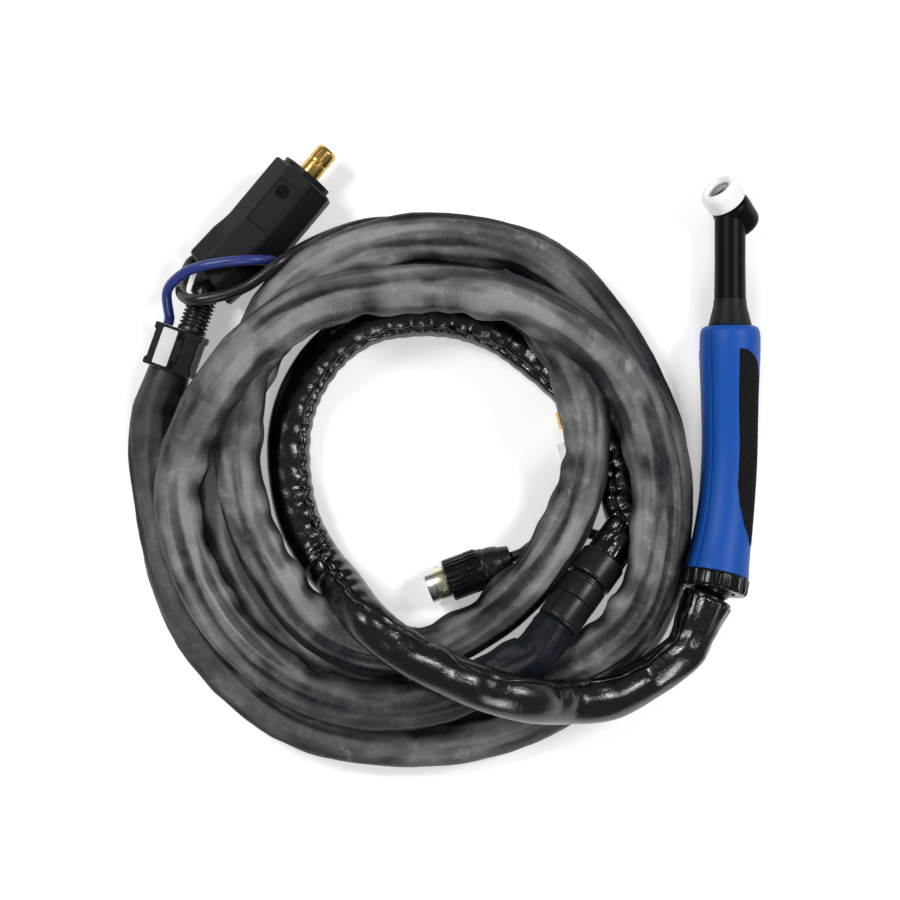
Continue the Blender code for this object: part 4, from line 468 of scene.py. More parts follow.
@made_once
def grip_rubber(shade):
    """Soft grip: a matt skin with fine pimples and dusty specks."""
    pimples = shade.cells(1500.0)
    dust = shade.grain(2100.0, 2.0).between(0.58, 0.72)
    base = tuple(colours().grip)
    return shade.done(
        base_color=shade.mix(dust * 0.55, base, (0.060, 0.052, 0.046)),
        roughness=shade.grain(60.0) * 0.12 + 0.72,
        specular_ior_level=0.05,
        normal=shade.bumped(1.0 - pimples, 0.00012),
    )


@made_once
def insulator_white(shade):
    cloud = shade.grain(120.0, 3.0)
    base = tuple(colours().ceramic)
    return shade.done(
        base_color=shade.mix(cloud.between(0.45, 0.8) * 0.35, base, darker(base, 0.90)),
        roughness=cloud * 0.15 + 0.26,
        normal=shade.bumped(shade.grain(900.0), 0.00003),
    )


def metal(shade, colour, roughness, share=0.45, dull=0.62, plate=None):
    """Turned metal with fine tool marks and a share of dull tarnish. Plate is a colour that varies."""
    tarnish = shade.grain(150.0, 5.0, 0.6).between(0.48, 0.78)
    marks = shade.grain(2400.0, 2.0)
    return shade.done(
        base_color=shade.mix(tarnish * share, plate or colour, darker(colour, dull)),
        metallic=1.0,
        roughness=marks * 0.08 + tarnish * 0.14 + roughness,
        normal=shade.bumped(marks, 0.00003),
    )


@made_once
def turned_brass(shade):
    return metal(shade, tuple(colours().brass), 0.20)


@made_once
def neck_black(shade):
    return moulded(shade, darker(colours().moulding, 0.30), 0.36, 0.00005, 0.03, 0.08)


@made_once
def painted_shade_black(shade):
    """Painted shade: the near black of shaded recess floors, holes and bores."""
    return shade.done(
        base_color=shade.mix(shade.grain(300.0), (0.0012, 0.0012, 0.0014), (0.0030, 0.0030, 0.0034)),
        roughness=shade.grain(500.0) * 0.2 + 0.55,
        specular_ior_level=0.10,
        normal=shade.bumped(shade.grain(2600.0), 0.00004),
    )


@made_once
def drawn_copper(shade):
    return metal(shade, (0.80, 0.42, 0.28), 0.24)


@made_once
def nickel_plate(shade):
    """Plating that turns yellowish where the mesh says so."""
    bright = tuple(colours().nickel)
    plate = shade.mix(shade.painted("band"), bright, (bright[0] * 1.12, bright[1], bright[2] * 0.72))
    return metal(shade, bright, 0.24, 0.35, 0.55, plate)


@made_once
def screw_steel(shade):
    return metal(shade, (0.46, 0.47, 0.49), 0.30)


@made_once
def black_hide(shade):
    """Glossy black leather: pebbled grain with creases between the pebbles, and the crests of its gathers a
    lighter bluish grey, partly rubbing and partly painted highlight.
    """
    pebbles = shade.cells(820.0, "DISTANCE_TO_EDGE").between(0.0, 0.22)
    tilt = shade.grain(760.0, 2.0, 0.55)
    crease = shade.grain(260.0, 4.0, 0.6, distortion=0.5)
    fold = shade.painted("fold")
    base = tuple(colours().cover)
    # painted highlight along with rubbing: lighter where the grain tilts on the gathers' crests
    rub_and_highlight = (tilt.between(0.52, 0.70) * fold.between(0.55, 1.0)).clamped()
    return shade.done(
        base_color=shade.mix(rub_and_highlight * 0.30, base, (0.030, 0.033, 0.042)),
        roughness=crease * 0.12 + rub_and_highlight * 0.06 + 0.13,
        specular_ior_level=0.80,
        normal=shade.bumped(tilt + pebbles * 0.30 + crease * 0.6, 0.00010),
    )


@made_once
def hide_thread(shade):
    return shade.done(
        base_color=shade.mix(shade.grain(1800.0), (0.003, 0.003, 0.004), (0.014, 0.014, 0.016)),
        roughness=0.70,
        specular_ior_level=0.15,
        normal=shade.bumped(shade.grain(3500.0), 0.0001),
    )


@made_once
def smoky_skin(shade):
    """Smoke-grey hose skin over dark leads, with painted light: pale on the crown of its section and on its
    fold crests as a painted highlight, deep on its sides and underside as painted shade.
    """
    tone, fold, crown, streak = (shade.painted(name) for name in ("tone", "fold", "crown", "streak"))
    cloud = shade.grain(26.0, 4.0, 0.55, distortion=0.5)
    mottle = shade.grain(120.0, 5.0, 0.62, distortion=0.8)
    band = shade.grain(15.0, 3.0, 0.5).between(0.36, 0.60)
    scratch = shade.grain(420.0, 4.0, 0.7, distortion=0.5).between(0.60, 0.74)
    pale = tuple(colours().sheath)
    deep = tuple(colours().sheath_deep)
    body = cloud.between(0.38, 0.64) * 0.45 + streak.between(0.34, 0.72) * 0.60
    # painted highlight: raised folds add to the pale share
    body = body + fold.between(0.34, 0.80) * 0.60
    # painted light: the pale share follows the crown of the section, so the top reads lit and the sides and
    # underside stay deep as painted shade
    lift = crown * (body * (band * 0.55 + 0.45) + mottle.between(0.35, 0.75) * 0.16) * tone
    skin = shade.mix((lift * 0.80 + mottle * tone * 0.03).clamped(), deep, pale)
    # chalky haze where raised folds face up, placed there as painted sheen
    chalk_and_sheen = (mottle.between(0.52, 0.74) * fold.between(0.50, 0.95) * crown * tone).clamped()
    chalked_and_lit = shade.mix(chalk_and_sheen * 0.45, skin, (0.36, 0.36, 0.35))
    return shade.done(
        base_color=shade.mix(scratch * crown * 0.25, chalked_and_lit, deep),
        roughness=cloud * 0.14 + mottle * 0.12 + 0.28,
        specular_ior_level=0.15,
        normal=shade.bumped(mottle + shade.grain(420.0, 3.0) * 0.25, 0.0005),
    )


@made_once
def cable_jacket(shade):
    cloud = shade.grain(70.0, 3.0)
    return shade.done(
        base_color=shade.mix(cloud * 0.4, tuple(colours().jacket), (0.030, 0.030, 0.033)),
        roughness=cloud * 0.14 + 0.26,
        normal=shade.bumped(shade.grain(900.0, 3.0) + cloud, 0.00006),
    )


@made_once
def hose_rubber(shade):
    cloud = shade.grain(90.0, 3.0)
    base = tuple(colours().hose)
    return shade.done(
        base_color=shade.mix(cloud * 0.6, base, (0.035, 0.060, 0.270)),
        roughness=cloud * 0.16 + 0.30,
        normal=shade.bumped(shade.grain(1000.0, 3.0), 0.00006),
    )


@made_once
def blank_label(shade):
    """Bare pale plate, printed with nothing."""
    cloud = shade.grain(200.0, 4.0)
    return shade.done(
        base_color=shade.mix(cloud, (0.62, 0.62, 0.63), (0.74, 0.74, 0.74)),
        roughness=cloud * 0.12 + 0.30,
        normal=shade.bumped(shade.grain(1400.0), 0.00002),
    )


def floor_white():
    """Pale floor that the camera, gloss and glass see as a white ground with the object's shadow."""
    shade = Shade("floor_white")
    path = shade.node("ShaderNodeLightPath")
    seen = Value(shade, path.outputs["Is Camera Ray"])
    for name in ("Is Glossy Ray", "Is Transmission Ray"):
        seen = seen.math("MAXIMUM", Value(shade, path.outputs[name]))
    speck = shade.grain(30.0)
    bounce = shade.node(
        "ShaderNodeBsdfDiffuse", None, {"Color": shade.mix(speck, (0.80, 0.80, 0.80), (0.81, 0.81, 0.81))}
    )
    glow = shade.node("ShaderNodeEmission", None, {"Color": (1.0, 1.0, 1.0, 1.0), "Strength": 0.40})
    lit = shade.node("ShaderNodeAddShader", None, {0: bounce.outputs[0], 1: glow.outputs[0]})
    both = shade.node("ShaderNodeMixShader", None, {0: seen, 1: bounce.outputs[0], 2: lit.outputs[0]})
    shade.node("ShaderNodeOutputMaterial", None, {"Surface": both.outputs[0]})
    return shade.material


# ---------------------------------------------------------------- lines
def straight_on(place, direction, distance):
    return Vector(place) + Vector(direction).normalized() * distance


def smooth_route(points, steps):
    """A smooth curve through the points. Its first and last spans stay straight."""
    route = [Vector(point) for point in points]
    read = [route[0]]
    for before, start, end, after in zip(route, route[1:], route[2:], route[3:]):
        for step in range(steps):
            t = step / steps
            bend = 2 * before - 5 * start + 4 * end - after
            twist = 3 * start - before - 3 * end + after
            read.append(start + (t * (end - before) + t * t * bend + t * t * t * twist) / 2)
    return read + [route[-2], route[-1]]


def unit(value):
    """A value held between 0 and 1."""
    return min(1.0, max(0.0, value))


def ripple(*spot):
    """Smooth noise at a spot."""
    return noise.noise(Vector(spot))


def stance(spots, index):
    """Forward, sideways and over, at a spot of a line."""
    forward = (spots[min(index + 1, len(spots) - 1)] - spots[max(index - 1, 0)]).normalized()
    side = forward.cross(Vector((0.0, 0.0, 1.0))).normalized()
    return forward, side, side.cross(forward)


def laid(points, radius):
    return [Vector((point.x, point.y, max(point.z, radius))) for point in points]


def evenly(points, pitch):
    """Points at equal steps along a line."""
    spots = [points[0]]
    left = pitch
    for start, end in zip(points, points[1:]):
        span = (end - start).length
        while left <= span:
            spots.append(start.lerp(end, left / span))
            left += pitch
        left -= span
    return [*spots, points[-1]]


def route_length(points):
    return sum((end - start).length for start, end in zip(points, points[1:]))


def facing(direction, up=(0.0, 0.0, 1.0)):
    """The turn that points local Z along a direction and local Y as near to up as it goes."""
    ahead = Vector(direction).normalized()
    side = Vector(up).cross(ahead).normalized()
    return Matrix((side, ahead.cross(side), ahead)).transposed().to_4x4()


def read_line(stations, along):
    """The value at a distance between (distance, value) stations."""
    for (start, first), (end, second) in zip(stations, stations[1:]):
        if along <= end:
            share = max(0.0, (along - start) / (end - start))
            return first + (second - first) * share
    return stations[-1][1]


def handle_slope(along):
    return (min(max(along, HANDLE_BEND_START), HANDLE_BEND_END) - HANDLE_BEND_START) / HANDLE_BEND_RADIUS


def handle_point(along, across=0.0, height=0.0):
    """A point beside the handle's axis: straight, then bent towards the nozzle side."""
    slope = handle_slope(along)
    ahead = min(along, HANDLE_BEND_START)
    behind = max(0.0, along - HANDLE_BEND_END)
    y = -ahead - (HANDLE_BEND_RADIUS - height) * math.sin(slope) - behind * math.cos(slope)
    z = HANDLE_BEND_RADIUS * (1 - math.cos(slope)) + height * math.cos(slope) + behind * math.sin(slope)
    return Vector((across, y, z))


TORCH = Matrix.Translation(TORCH_PLACE) @ Matrix.Rotation(-TORCH_ROLL, 4, "Y")
HEAD = TORCH @ Matrix.Translation((0, HEAD_REACH, 0)) @ Matrix.Rotation(HEAD_ANGLE - math.pi / 2, 4, "X")
NECK = TORCH @ Matrix.Rotation(-math.pi / 2, 4, "X")
BALL_SLOPE = handle_slope(BALL_PLACE)
JOINT = (
    TORCH
    @ Matrix.Translation(handle_point(BALL_PLACE))
    @ facing((0.0, -math.cos(BALL_SLOPE), math.sin(BALL_SLOPE)), (1, 0, 0))
)
BALL = TORCH @ handle_point(BALL_PLACE)
CUFF = Matrix.Translation(BALL) @ facing(CUFF_AXIS)
COUPLER = Matrix.Translation(COUPLER_TOP) @ facing([-part for part in COUPLER_AXIS])
RELIEF = Matrix.Translation(RELIEF_PLACE) @ Matrix.Rotation(RELIEF_YAW, 4, "Z")
PLUG = Matrix.Translation(PLUG_FRONT) @ Matrix.Rotation(PLUG_YAW, 4, "Z")
OUT_OF_RELIEF = Matrix.Rotation(RELIEF_YAW, 3, "Z") @ Vector((0.0, 1.0, 0.0))


def out_of_relief(across, height):
    """Where a lead leaves the strain relief's rear face."""
    return RELIEF @ Vector((across, RELIEF_SIZE[1] / 2 + SEAT_GAP, height))


BOOT_START = out_of_relief(*BOOT_OUT)
BOOT = Matrix.Translation(BOOT_START) @ facing(OUT_OF_RELIEF)
CONTROL_PLUG = Matrix.Translation(CONTROL_PLUG_PLACE) @ facing(CONTROL_PLUG_AXIS)


def sheath_line():
    """From the coupler's lower end through the loops to the strain relief."""
    straight = 2 * SHEATH_RADIUS
    front = -RELIEF_SIZE[1] / 2 - SEAT_GAP
    back_along = [-part for part in COUPLER_AXIS]
    end = straight_on(COUPLER_TOP, back_along, COUPLER_LENGTH + SEAT_GAP)
    stations = []
    for index, (radius, height) in enumerate(COIL_TURNS):
        angle = math.pi + math.tau * index / 12
        x = COIL_CENTRE[0] + radius * math.cos(angle)
        stations.append((x, COIL_CENTRE[1] + radius * math.sin(angle), height))
    points = [
        RELIEF @ Vector((0.0, front, SHEATH_RADIUS)),
        RELIEF @ Vector((0.0, front - straight, SHEATH_RADIUS)),
        *stations,
        straight_on(end, back_along, straight),
        end,
    ]
    return list(reversed(laid(smooth_route(points, 8), SHEATH_RADIUS)))


def cover_line():
    """From the cuff through its loop to the coupler's upper end."""
    start = straight_on(BALL, CUFF_AXIS, CUFF_END + SEAT_GAP)
    end = straight_on(COUPLER_TOP, COUPLER_AXIS, SEAT_GAP)
    straight = 2 * COVER_RADIUS
    points = [
        start,
        straight_on(start, CUFF_AXIS, straight),
        *COVER_ROUTE,
        straight_on(end, COUPLER_AXIS, straight),
        end,
    ]
    return laid(smooth_route(points, 8), COVER_RADIUS)


def control_line():
    start = out_of_relief(*CONTROL_OUT)
    end = straight_on(CONTROL_PLUG_PLACE, CONTROL_PLUG_AXIS, -CONTROL_PLUG_LENGTH)
    last = straight_on(end, CONTROL_PLUG_AXIS, -2 * CONTROL_RADIUS)
    return laid(smooth_route([start, *CONTROL_ROUTE, last, end], 6), CONTROL_RADIUS)


def gas_line():
    start = out_of_relief(*GAS_OUT)
    out = straight_on(start, OUT_OF_RELIEF, GAS_RADIUS)
    before = straight_on(FITTING_PLACE, FITTING_AXIS, -2 * GAS_RADIUS)
    end = straight_on(FITTING_PLACE, FITTING_AXIS, FERRULE_START)
    return laid(smooth_route([start, out, *GAS_ROUTE[1:], before, end], 6), GAS_RADIUS)


# ---------------------------------------------------------------- meshes
def piece(name, points, faces, look, body, smooth=35, marks=None):
    """An object from points and faces that rides on a body."""
    mesh = bpy.data.meshes.new(name)
    mesh.from_pydata([tuple(point) for point in points], [], faces)
    mesh.validate()
    mesh.materials.append(look)
    for mark, values in (marks or {}).items():
        mesh.attributes.new(mark, "FLOAT", "POINT").data.foreach_set("value", values)
    mesh.shade_smooth()
    if smooth:
        mesh.set_sharp_from_angle(angle=math.radians(smooth))
    made = bpy.data.objects.new(name, mesh)
    bpy.context.scene.collection.objects.link(made)
    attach(made, body)
    return made


def ring_faces(rings, sides, start_cap=True, end_cap=True):
    faces = []
    for ring in range(rings - 1):
        low, high = ring * sides, (ring + 1) * sides
        for side in range(sides):
            after = (side + 1) % sides
            faces.append((low + side, low + after, high + after, high + side))
    if start_cap:
        faces.append(tuple(range(sides - 1, -1, -1)))
    if end_cap:
        faces.append(tuple((rings - 1) * sides + side for side in range(sides)))
    return faces


def eased(profile, width, steps=3, closed=False):
    """A profile whose corners are rounded off."""
    spots = [Vector(point) for point in profile]
    count = len(spots)
    made = []
    for index, here in enumerate(spots):
        if not closed and index in (0, count - 1):
            made.append(here)
            continue
        before, after = spots[index - 1], spots[(index + 1) % count]
        reach = min(width, 0.45 * (before - here).length, 0.45 * (after - here).length)
        start = here + (before - here).normalized() * reach
        end = here + (after - here).normalized() * reach
        for step in range(steps + 1):
            t = step / steps
            made.append(start * (1 - t) ** 2 + here * (2 * t * (1 - t)) + end * t**2)
    return [tuple(spot) for spot in made]


def turned(name, profile, place, look, body, steps=96, shape=None, closed=True, smooth=35):
    """A profile of (radius, height) turned about local Z. Shape may change the radius by angle and height."""
    points = []
    for radius, height in profile:
        for step in range(steps):
            angle = math.tau * step / steps
            reach = shape(angle, radius, height) if shape else radius
            points.append(place @ Vector((reach * math.cos(angle), reach * math.sin(angle), height)))
    faces = ring_faces(len(profile), steps, not closed, not closed)
    if closed:
        last = (len(profile) - 1) * steps
        for step in range(steps):
            after = (step + 1) % steps
            faces.append((last + step, last + after, after, step))
    made = piece(name, points, faces, look, body, smooth)
    facing_out(made)
    return made


def stands_for(node):
    """Hides the CAD node that a piece stands in for."""
    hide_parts(node)


def facing_out(made):
    """Turns the faces of a closed mesh outwards."""
    shape = bmesh.new()
    shape.from_mesh(made.data)
    bmesh.ops.recalc_face_normals(shape, faces=shape.faces)
    shape.to_mesh(made.data)
    shape.free()


def round_at(angle, radius, swell=1.0):
    """A point of a round section, without marks."""
    return math.cos(angle) * radius * swell, math.sin(angle) * radius * swell, {}


def strand(name, spots, section, sides, look, body, marks=None):
    """A skin round a line. Section gives (across, up) and the marks of each point of a ring."""
    points, kept = [], {mark: [] for mark in marks or ()}
    for index, spot in enumerate(spots):
        _, side, over = stance(spots, index)
        for step in range(sides):
            angle = math.tau * step / sides
            across, lift, values = section(index, angle)
            point = spot + side * across + over * lift
            points.append((point.x, point.y, max(point.z, GROUND_CLEAR)))
            for mark in kept:
                kept[mark].append(values[mark])
    made = piece(name, points, ring_faces(len(spots), sides), look, body, 0, kept)
    facing_out(made)
    return made


def settled(values, reach):
    """Values along a line, each the mean of its neighbourhood."""
    count = len(values)
    return [
        sum(values[max(0, i - reach) : i + reach + 1]) / len(values[max(0, i - reach) : i + reach + 1])
        for i in range(count)
    ]


def curl(spots, index, reach=6):
    """How the line bends in plan at a spot: positive to the left of its way."""
    before, after = spots[max(index - reach, 0)], spots[min(index + reach, len(spots) - 1)]
    here = spots[index]
    first, second = here - before, after - here
    return first.x * second.y - first.y * second.x


def carried(look, *names):
    """Gives carried-over CAD nodes a finish and soft shading."""
    for name in names:
        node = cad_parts[name]
        node.data.materials.clear()
        node.data.materials.append(look)
        node.data.shade_smooth()
        node.data.set_sharp_from_angle(angle=math.radians(30))


# ---------------------------------------------------------------- operators
class TorchOperator:
    """What the operators share."""

    bl_options = {"REGISTER", "UNDO"}

    def execute(self, context):
        self.make()
        return {"FINISHED"}


class TORCH_OT_stage(TorchOperator, bpy.types.Operator):
    """White ground, soft lights and the camera above the object"""

    bl_idname = "torch.stage"
    bl_label = "Stage"

    def make(self):
        mesh = bpy.data.meshes.new("floor")
        far = FLOOR_HALF
        mesh.from_pydata([(-far, -far, 0), (far, -far, 0), (far, far, 0), (-far, far, 0)], [], [(0, 1, 2, 3)])
        mesh.materials.append(floor_white())
        floor = bpy.data.objects.new("floor", mesh)
        bpy.context.scene.collection.objects.link(floor)
        world = bpy.data.worlds.new("studio")
        bpy.context.scene.world = world
        world.use_nodes = True
        background = world.node_tree.nodes["Background"]
        background.inputs["Color"].default_value = (1.0, 1.0, 1.0, 1.0)
        background.inputs["Strength"].default_value = WORLD_STRENGTH
        for name, place, width, power in LIGHTS:
            lamp = bpy.data.lights.new(name, "AREA")
            lamp.shape = "SQUARE"
            lamp.size = width
            lamp.energy = power
            light = bpy.data.objects.new(name, lamp)
            light.location = place
            aim = Vector(LIGHT_AIM) - Vector(place)
            light.rotation_euler = aim.to_track_quat("-Z", "Y").to_euler()
            bpy.context.scene.collection.objects.link(light)
        lens = bpy.data.cameras.new("camera")
        lens.angle = CAMERA_ANGLE
        lens.clip_start, lens.clip_end = 0.05, 20.0
        camera = bpy.data.objects.new("camera", lens)
        camera.location = CAMERA_PLACE
        bpy.context.scene.collection.objects.link(camera)
        bpy.context.scene.camera = camera
        bpy.context.scene.view_settings.view_transform = "Standard"


class TORCH_OT_outer_sheath(TorchOperator, bpy.types.Operator):
    """The long smoky hose, flattened and creased, as it lies in its loops"""

    bl_idname = "torch.outer_sheath"
    bl_label = "Outer sheath"

    def make(self):
        spots = evenly(sheath_line(), SHEATH_PITCH)
        nut = Vector(FITTING_PLACE)
        room = self.room(spots)
        length = route_length(spots)
        tones = (
            (0.0, 0.0), (0.07, 0.02), (0.14, 0.45), (0.24, 0.85), (0.80, 1.0), (1.55, 0.95), (2.05, 0.90),
            (length - 0.36, 0.80), (length - 0.22, 0.50), (length, 0.32),
        )
        fold_depth = sizes().sheath_fold

        def section(index, angle):
            left, right, top = room[index]
            along = index * SHEATH_PITCH
            across, lift = math.cos(angle), math.sin(angle)
            wide = right if across > 0 else left
            high = top if lift > 0 else SHEATH_RADIUS
            long_fold = ripple(along * 9.0, across * 1.9, lift * 1.9)
            crumple = ripple(along * 55.0, across * 1.7 + 7.0, lift * 1.7)
            fine = ripple(along * 150.0, across * 3.0, lift * 3.0 + 5.0)
            bend = curl(spots, index)
            inside = max(0.0, (-across if bend > 0 else across)) ** 2
            pucker = ripple(along * 62.0, across * 0.5, 3.0) * inside
            streak = ripple(along * 7.0, across * 2.6, lift * 2.6 + 11.0)
            patch = ripple(along * 13.0, 2.0, across * 0.6)
            ease = min(1.0, along / 0.02, (length - along) / 0.02)
            ridge = 1.0 - abs(long_fold) * 3.2
            deep = 0.80 * long_fold + 0.50 * max(ridge, -0.4) + 0.55 * crumple + 0.14 * fine + 2.3 * pucker
            deep *= ease
            fold = fold_depth * (deep - 0.18)
            calm = unit(((spots[index] - nut).length - NUT_CLEAR) / NUT_EASE)
            if calm < 1.0:
                fold = min(fold, fold * calm)
                wide = SHEATH_RADIUS + (wide - SHEATH_RADIUS) * calm
            # crown marks the top of the section and fold the raised folds, where the skin's material paints
            # its highlight; tone and streak vary the grey along the hose
            values = {
                "tone": read_line(tones, along),
                "fold": unit(0.5 + 0.75 * deep),
                "crown": unit(lift + 0.30 * deep) ** 1.7,
                "streak": unit(0.5 + 0.75 * streak + 0.45 * patch),
            }
            return across * (wide + fold), lift * (high + fold), values

        marks = ("tone", "fold", "crown", "streak")
        made = strand("outer_sheath_skin", spots, section, 56, smoky_skin(), "cable_set", marks)
        stands_for("outer_sheath")

    def room(self, spots):
        """For each spot, how far the skin may reach left, right and up before it meets another loop."""
        wide, crown = sizes().sheath_width, sizes().sheath_crown
        same_loop, level = 34, 0.016  # rings to either side that don't count, and the height of a neighbour
        lefts, rights, tops = [], [], []
        for index, spot in enumerate(spots):
            _, side, _ = stance(spots, index)
            left = right = wide
            top = crown
            for other in range(0, len(spots), 2):
                if abs(other - index) < same_loop:
                    continue
                apart = spots[other] - spot
                if apart.length > LOOP_REACH:
                    continue
                across = apart.dot(side)
                if abs(apart.z) < level:
                    reach = max(SHEATH_RADIUS - 0.0004, apart.length / 2 + 0.0001)
                    if across > 0:
                        right = min(right, reach)
                    else:
                        left = min(left, reach)
                elif apart.z > 0 and abs(across) < level:
                    top = SHEATH_RADIUS
            edge = min(index, len(spots) - 1 - index) * SHEATH_PITCH
            if edge < 0.03:
                share = edge / 0.03
                left, right, top = (
                    SHEATH_RADIUS + (part - SHEATH_RADIUS) * share for part in (left, right, top)
                )
            lefts.append(left)
            rights.append(right)
            tops.append(top)
        return list(zip(settled(lefts, 5), settled(rights, 5), settled(tops, 6)))


class TORCH_OT_leather_cover(TorchOperator, bpy.types.Operator):
    """Black leather sleeve with gathers and a stitched welt on the inside of its loop"""

    bl_idname = "torch.leather_cover"
    bl_label = "Leather cover"

    def make(self):
        start = straight_on(BALL, CUFF_AXIS, COVER_START)
        spots = evenly([start, *cover_line()], COVER_PITCH)
        length = route_length(spots)
        fold_depth, wide = sizes().cover_fold, sizes().cover_width
        bends = settled([1.0 if curl(spots, index, 9) > 0 else -1.0 for index in range(len(spots))], 20)
        seams = [self.seam_angle(index * COVER_PITCH, -bends[index]) for index in range(len(spots))]

        def relief(index, angle):
            """Depth of the leather's shape at an angle, with rows of pillows on both sides of its seam."""
            along = index * COVER_PITCH
            across, lift = math.cos(angle), math.sin(angle)
            off = (angle - seams[index] + math.pi) % math.tau - math.pi
            off = off if bends[index] < 0 else -off
            outward = off > 0
            tight = self.gathered(along)
            pitch, spread, row = OUTER_PILLOWS if outward else INNER_PILLOWS
            shift = ripple(along * 34.0, row, 0.0)
            pillow = 2.0 * math.hypot(math.sin(math.pi * along / pitch + 1.3 * shift), 0.22) - 1.4
            swing = 2.2 * math.hypot(math.sin(math.pi * along / SLACK_PITCH + 1.6 * shift), 0.20) - 1.4
            near = math.exp(-((off / spread) ** 2))
            strength = 0.80 + 0.9 * ripple(along * 17.0, across * 0.6, lift * 0.6)
            gather = (pillow * tight + swing * (1.0 - tight)) * strength * near
            groove = math.exp(-((off / 0.10) ** 2)) * (0.45 + 0.55 * tight)
            crumple = ripple(along * 70.0, across * 2.2, lift * 2.2 + 4.0)
            fine = ripple(along * 210.0, across * 4.5, lift * 4.5)
            slack = ripple(along * 14.0, across * 1.2, lift * 1.2 + 9.0)
            ends = math.exp(-along / 0.010) + math.exp(-(length - along) / 0.010)
            pleats = math.sin(11 * angle + 2.0 * slack) * ends
            calm = min(1.0, along / 0.012, (length - along) / 0.012)
            deep = gather - groove + 0.30 * crumple * (0.25 + near) + 0.05 * fine
            deep = (deep + (0.35 + 0.25 * tight) * slack) * calm
            deep += 0.40 * pleats + 0.7 * crumple * math.exp(-along / 0.03)
            return fold_depth * (deep - 0.10 * calm), deep

        def section(index, angle):
            across, lift = math.cos(angle), math.sin(angle)
            edge = min(index, len(spots) - 1 - index) * COVER_PITCH
            share = min(1.0, edge / 0.025)
            bunch = COVER_BUNCH * max(0.0, 1.0 - index * COVER_PITCH / 0.020) ** 0.7
            side = COVER_RADIUS + (wide - COVER_RADIUS) * share + bunch
            top = COVER_RADIUS + (COVER_CROWN - COVER_RADIUS) * share + bunch
            fold, deep = relief(index, angle)
            high = top if lift > 0 else COVER_RADIUS + bunch
            return across * (side + fold), lift * (high + fold), {"fold": unit(0.5 + 0.6 * deep)}

        made = strand("leather_cover_skin", spots, section, 96, black_hide(), "cable_set", ("fold",))
        stands_for("leather_cover")
        welt_spots, stitches = self.welt_line(spots, section, seams, bends)
        radius = sizes().seam_width

        def bead(index, angle):
            return round_at(angle, radius, 1.0 + 0.18 * math.sin(index * 1.5))

        strand("leather_welt", welt_spots, bead, 10, black_hide(), "cable_set")
        self.stitching(stitches)

    def gathered(self, along):
        """0 where the leather is slack, 1 where its seam gathers it."""
        return unit((along - SLACK_END) / SLACK_EASE)

    def seam_angle(self, along, turn):
        """Where the seam lies round the cover: on the inner side of its loop, and wavy where it is slack."""
        tight = self.gathered(along)
        wave = ripple(along * 26.0, 5.0, 1.0)
        inner = math.radians(46.0 * tight + 33.0 * (1.0 - tight) + (7.0 + 14.0 * (1.0 - tight)) * wave)
        return math.pi / 2 - (math.pi / 2 - inner) * turn

    def welt_line(self, spots, section, seams, bends):
        """The welt's middle in the seam's groove, and a stitch beside it at each pitch."""
        line, stitches, since = [], [], 0.0
        for index in range(8, len(spots) - 8):
            forward, side, over = stance(spots, index)
            angle = seams[index]
            across, lift, _ = section(index, angle)
            out = (side * math.cos(angle) + over * math.sin(angle)).normalized()
            spot = spots[index] + side * across + over * lift
            line.append(spot + out * 0.0002)
            since += (spots[index] - spots[index - 1]).length
            if since >= sizes().stitch_pitch:
                since = 0.0
                beside = angle - math.radians(14) * bends[index]
                across, lift, _ = section(index, beside)
                out = (side * math.cos(beside) + over * math.sin(beside)).normalized()
                stitches.append((spots[index] + side * across + over * lift, forward, out))
        return line, stitches

    def stitching(self, stitches):
        points, faces = [], []
        for place, forward, out in stitches:
            side = forward.cross(out).normalized()
            start = len(points)
            for step in range(5):
                share = step / 4 - 0.5
                lift = 0.00016 - 0.0016 * share * share * 1.2
                girth = STITCH_RADIUS * (1.0 - 1.2 * share * share)
                for turn in range(6):
                    angle = math.tau * turn / 6
                    around = side * math.cos(angle) * girth + out * math.sin(angle) * girth
                    points.append(place + forward * (share * STITCH_LENGTH) + out * lift + around)
            for face in ring_faces(5, 6):
                faces.append(tuple(start + corner for corner in face))
        return piece("leather_stitches", points, faces, hide_thread(), "cable_set", 0)


class TORCH_OT_leads(TorchOperator, bpy.types.Operator):
    """Control cable and gas hose"""

    bl_idname = "torch.leads"
    bl_label = "Control cable and gas hose"

    def make(self):
        self.lead(
            "control_cable_jacket", "control_cable", control_line(), CONTROL_RADIUS, cable_jacket(),
            "cable_rubber", "connector",
            ("gland_turned", "backshell_turned", "plug_insert", "coupling_ring_grip", "bayonet_sleeve_rim"),
        )
        self.lead(
            "gas_hose_wall", "gas_hose", gas_line(), GAS_RADIUS, hose_rubber(), "blue_hose", "fitting",
            ("gas_ferrule", "gas_nipple", "gas_union_nut"),
        )

    def lead(self, name, node, line, radius, look, slot, far_end, ends):
        spots = evenly(line, LEAD_PITCH)

        def section(index, angle):
            uneven = 0.02 * ripple(index * 0.11, math.cos(angle), math.sin(angle))
            return round_at(angle, radius, 1.0 + uneven)

        made = strand(name, spots, section, 20, look, "cable_set")
        stands_for(node)
        route_length(spots)


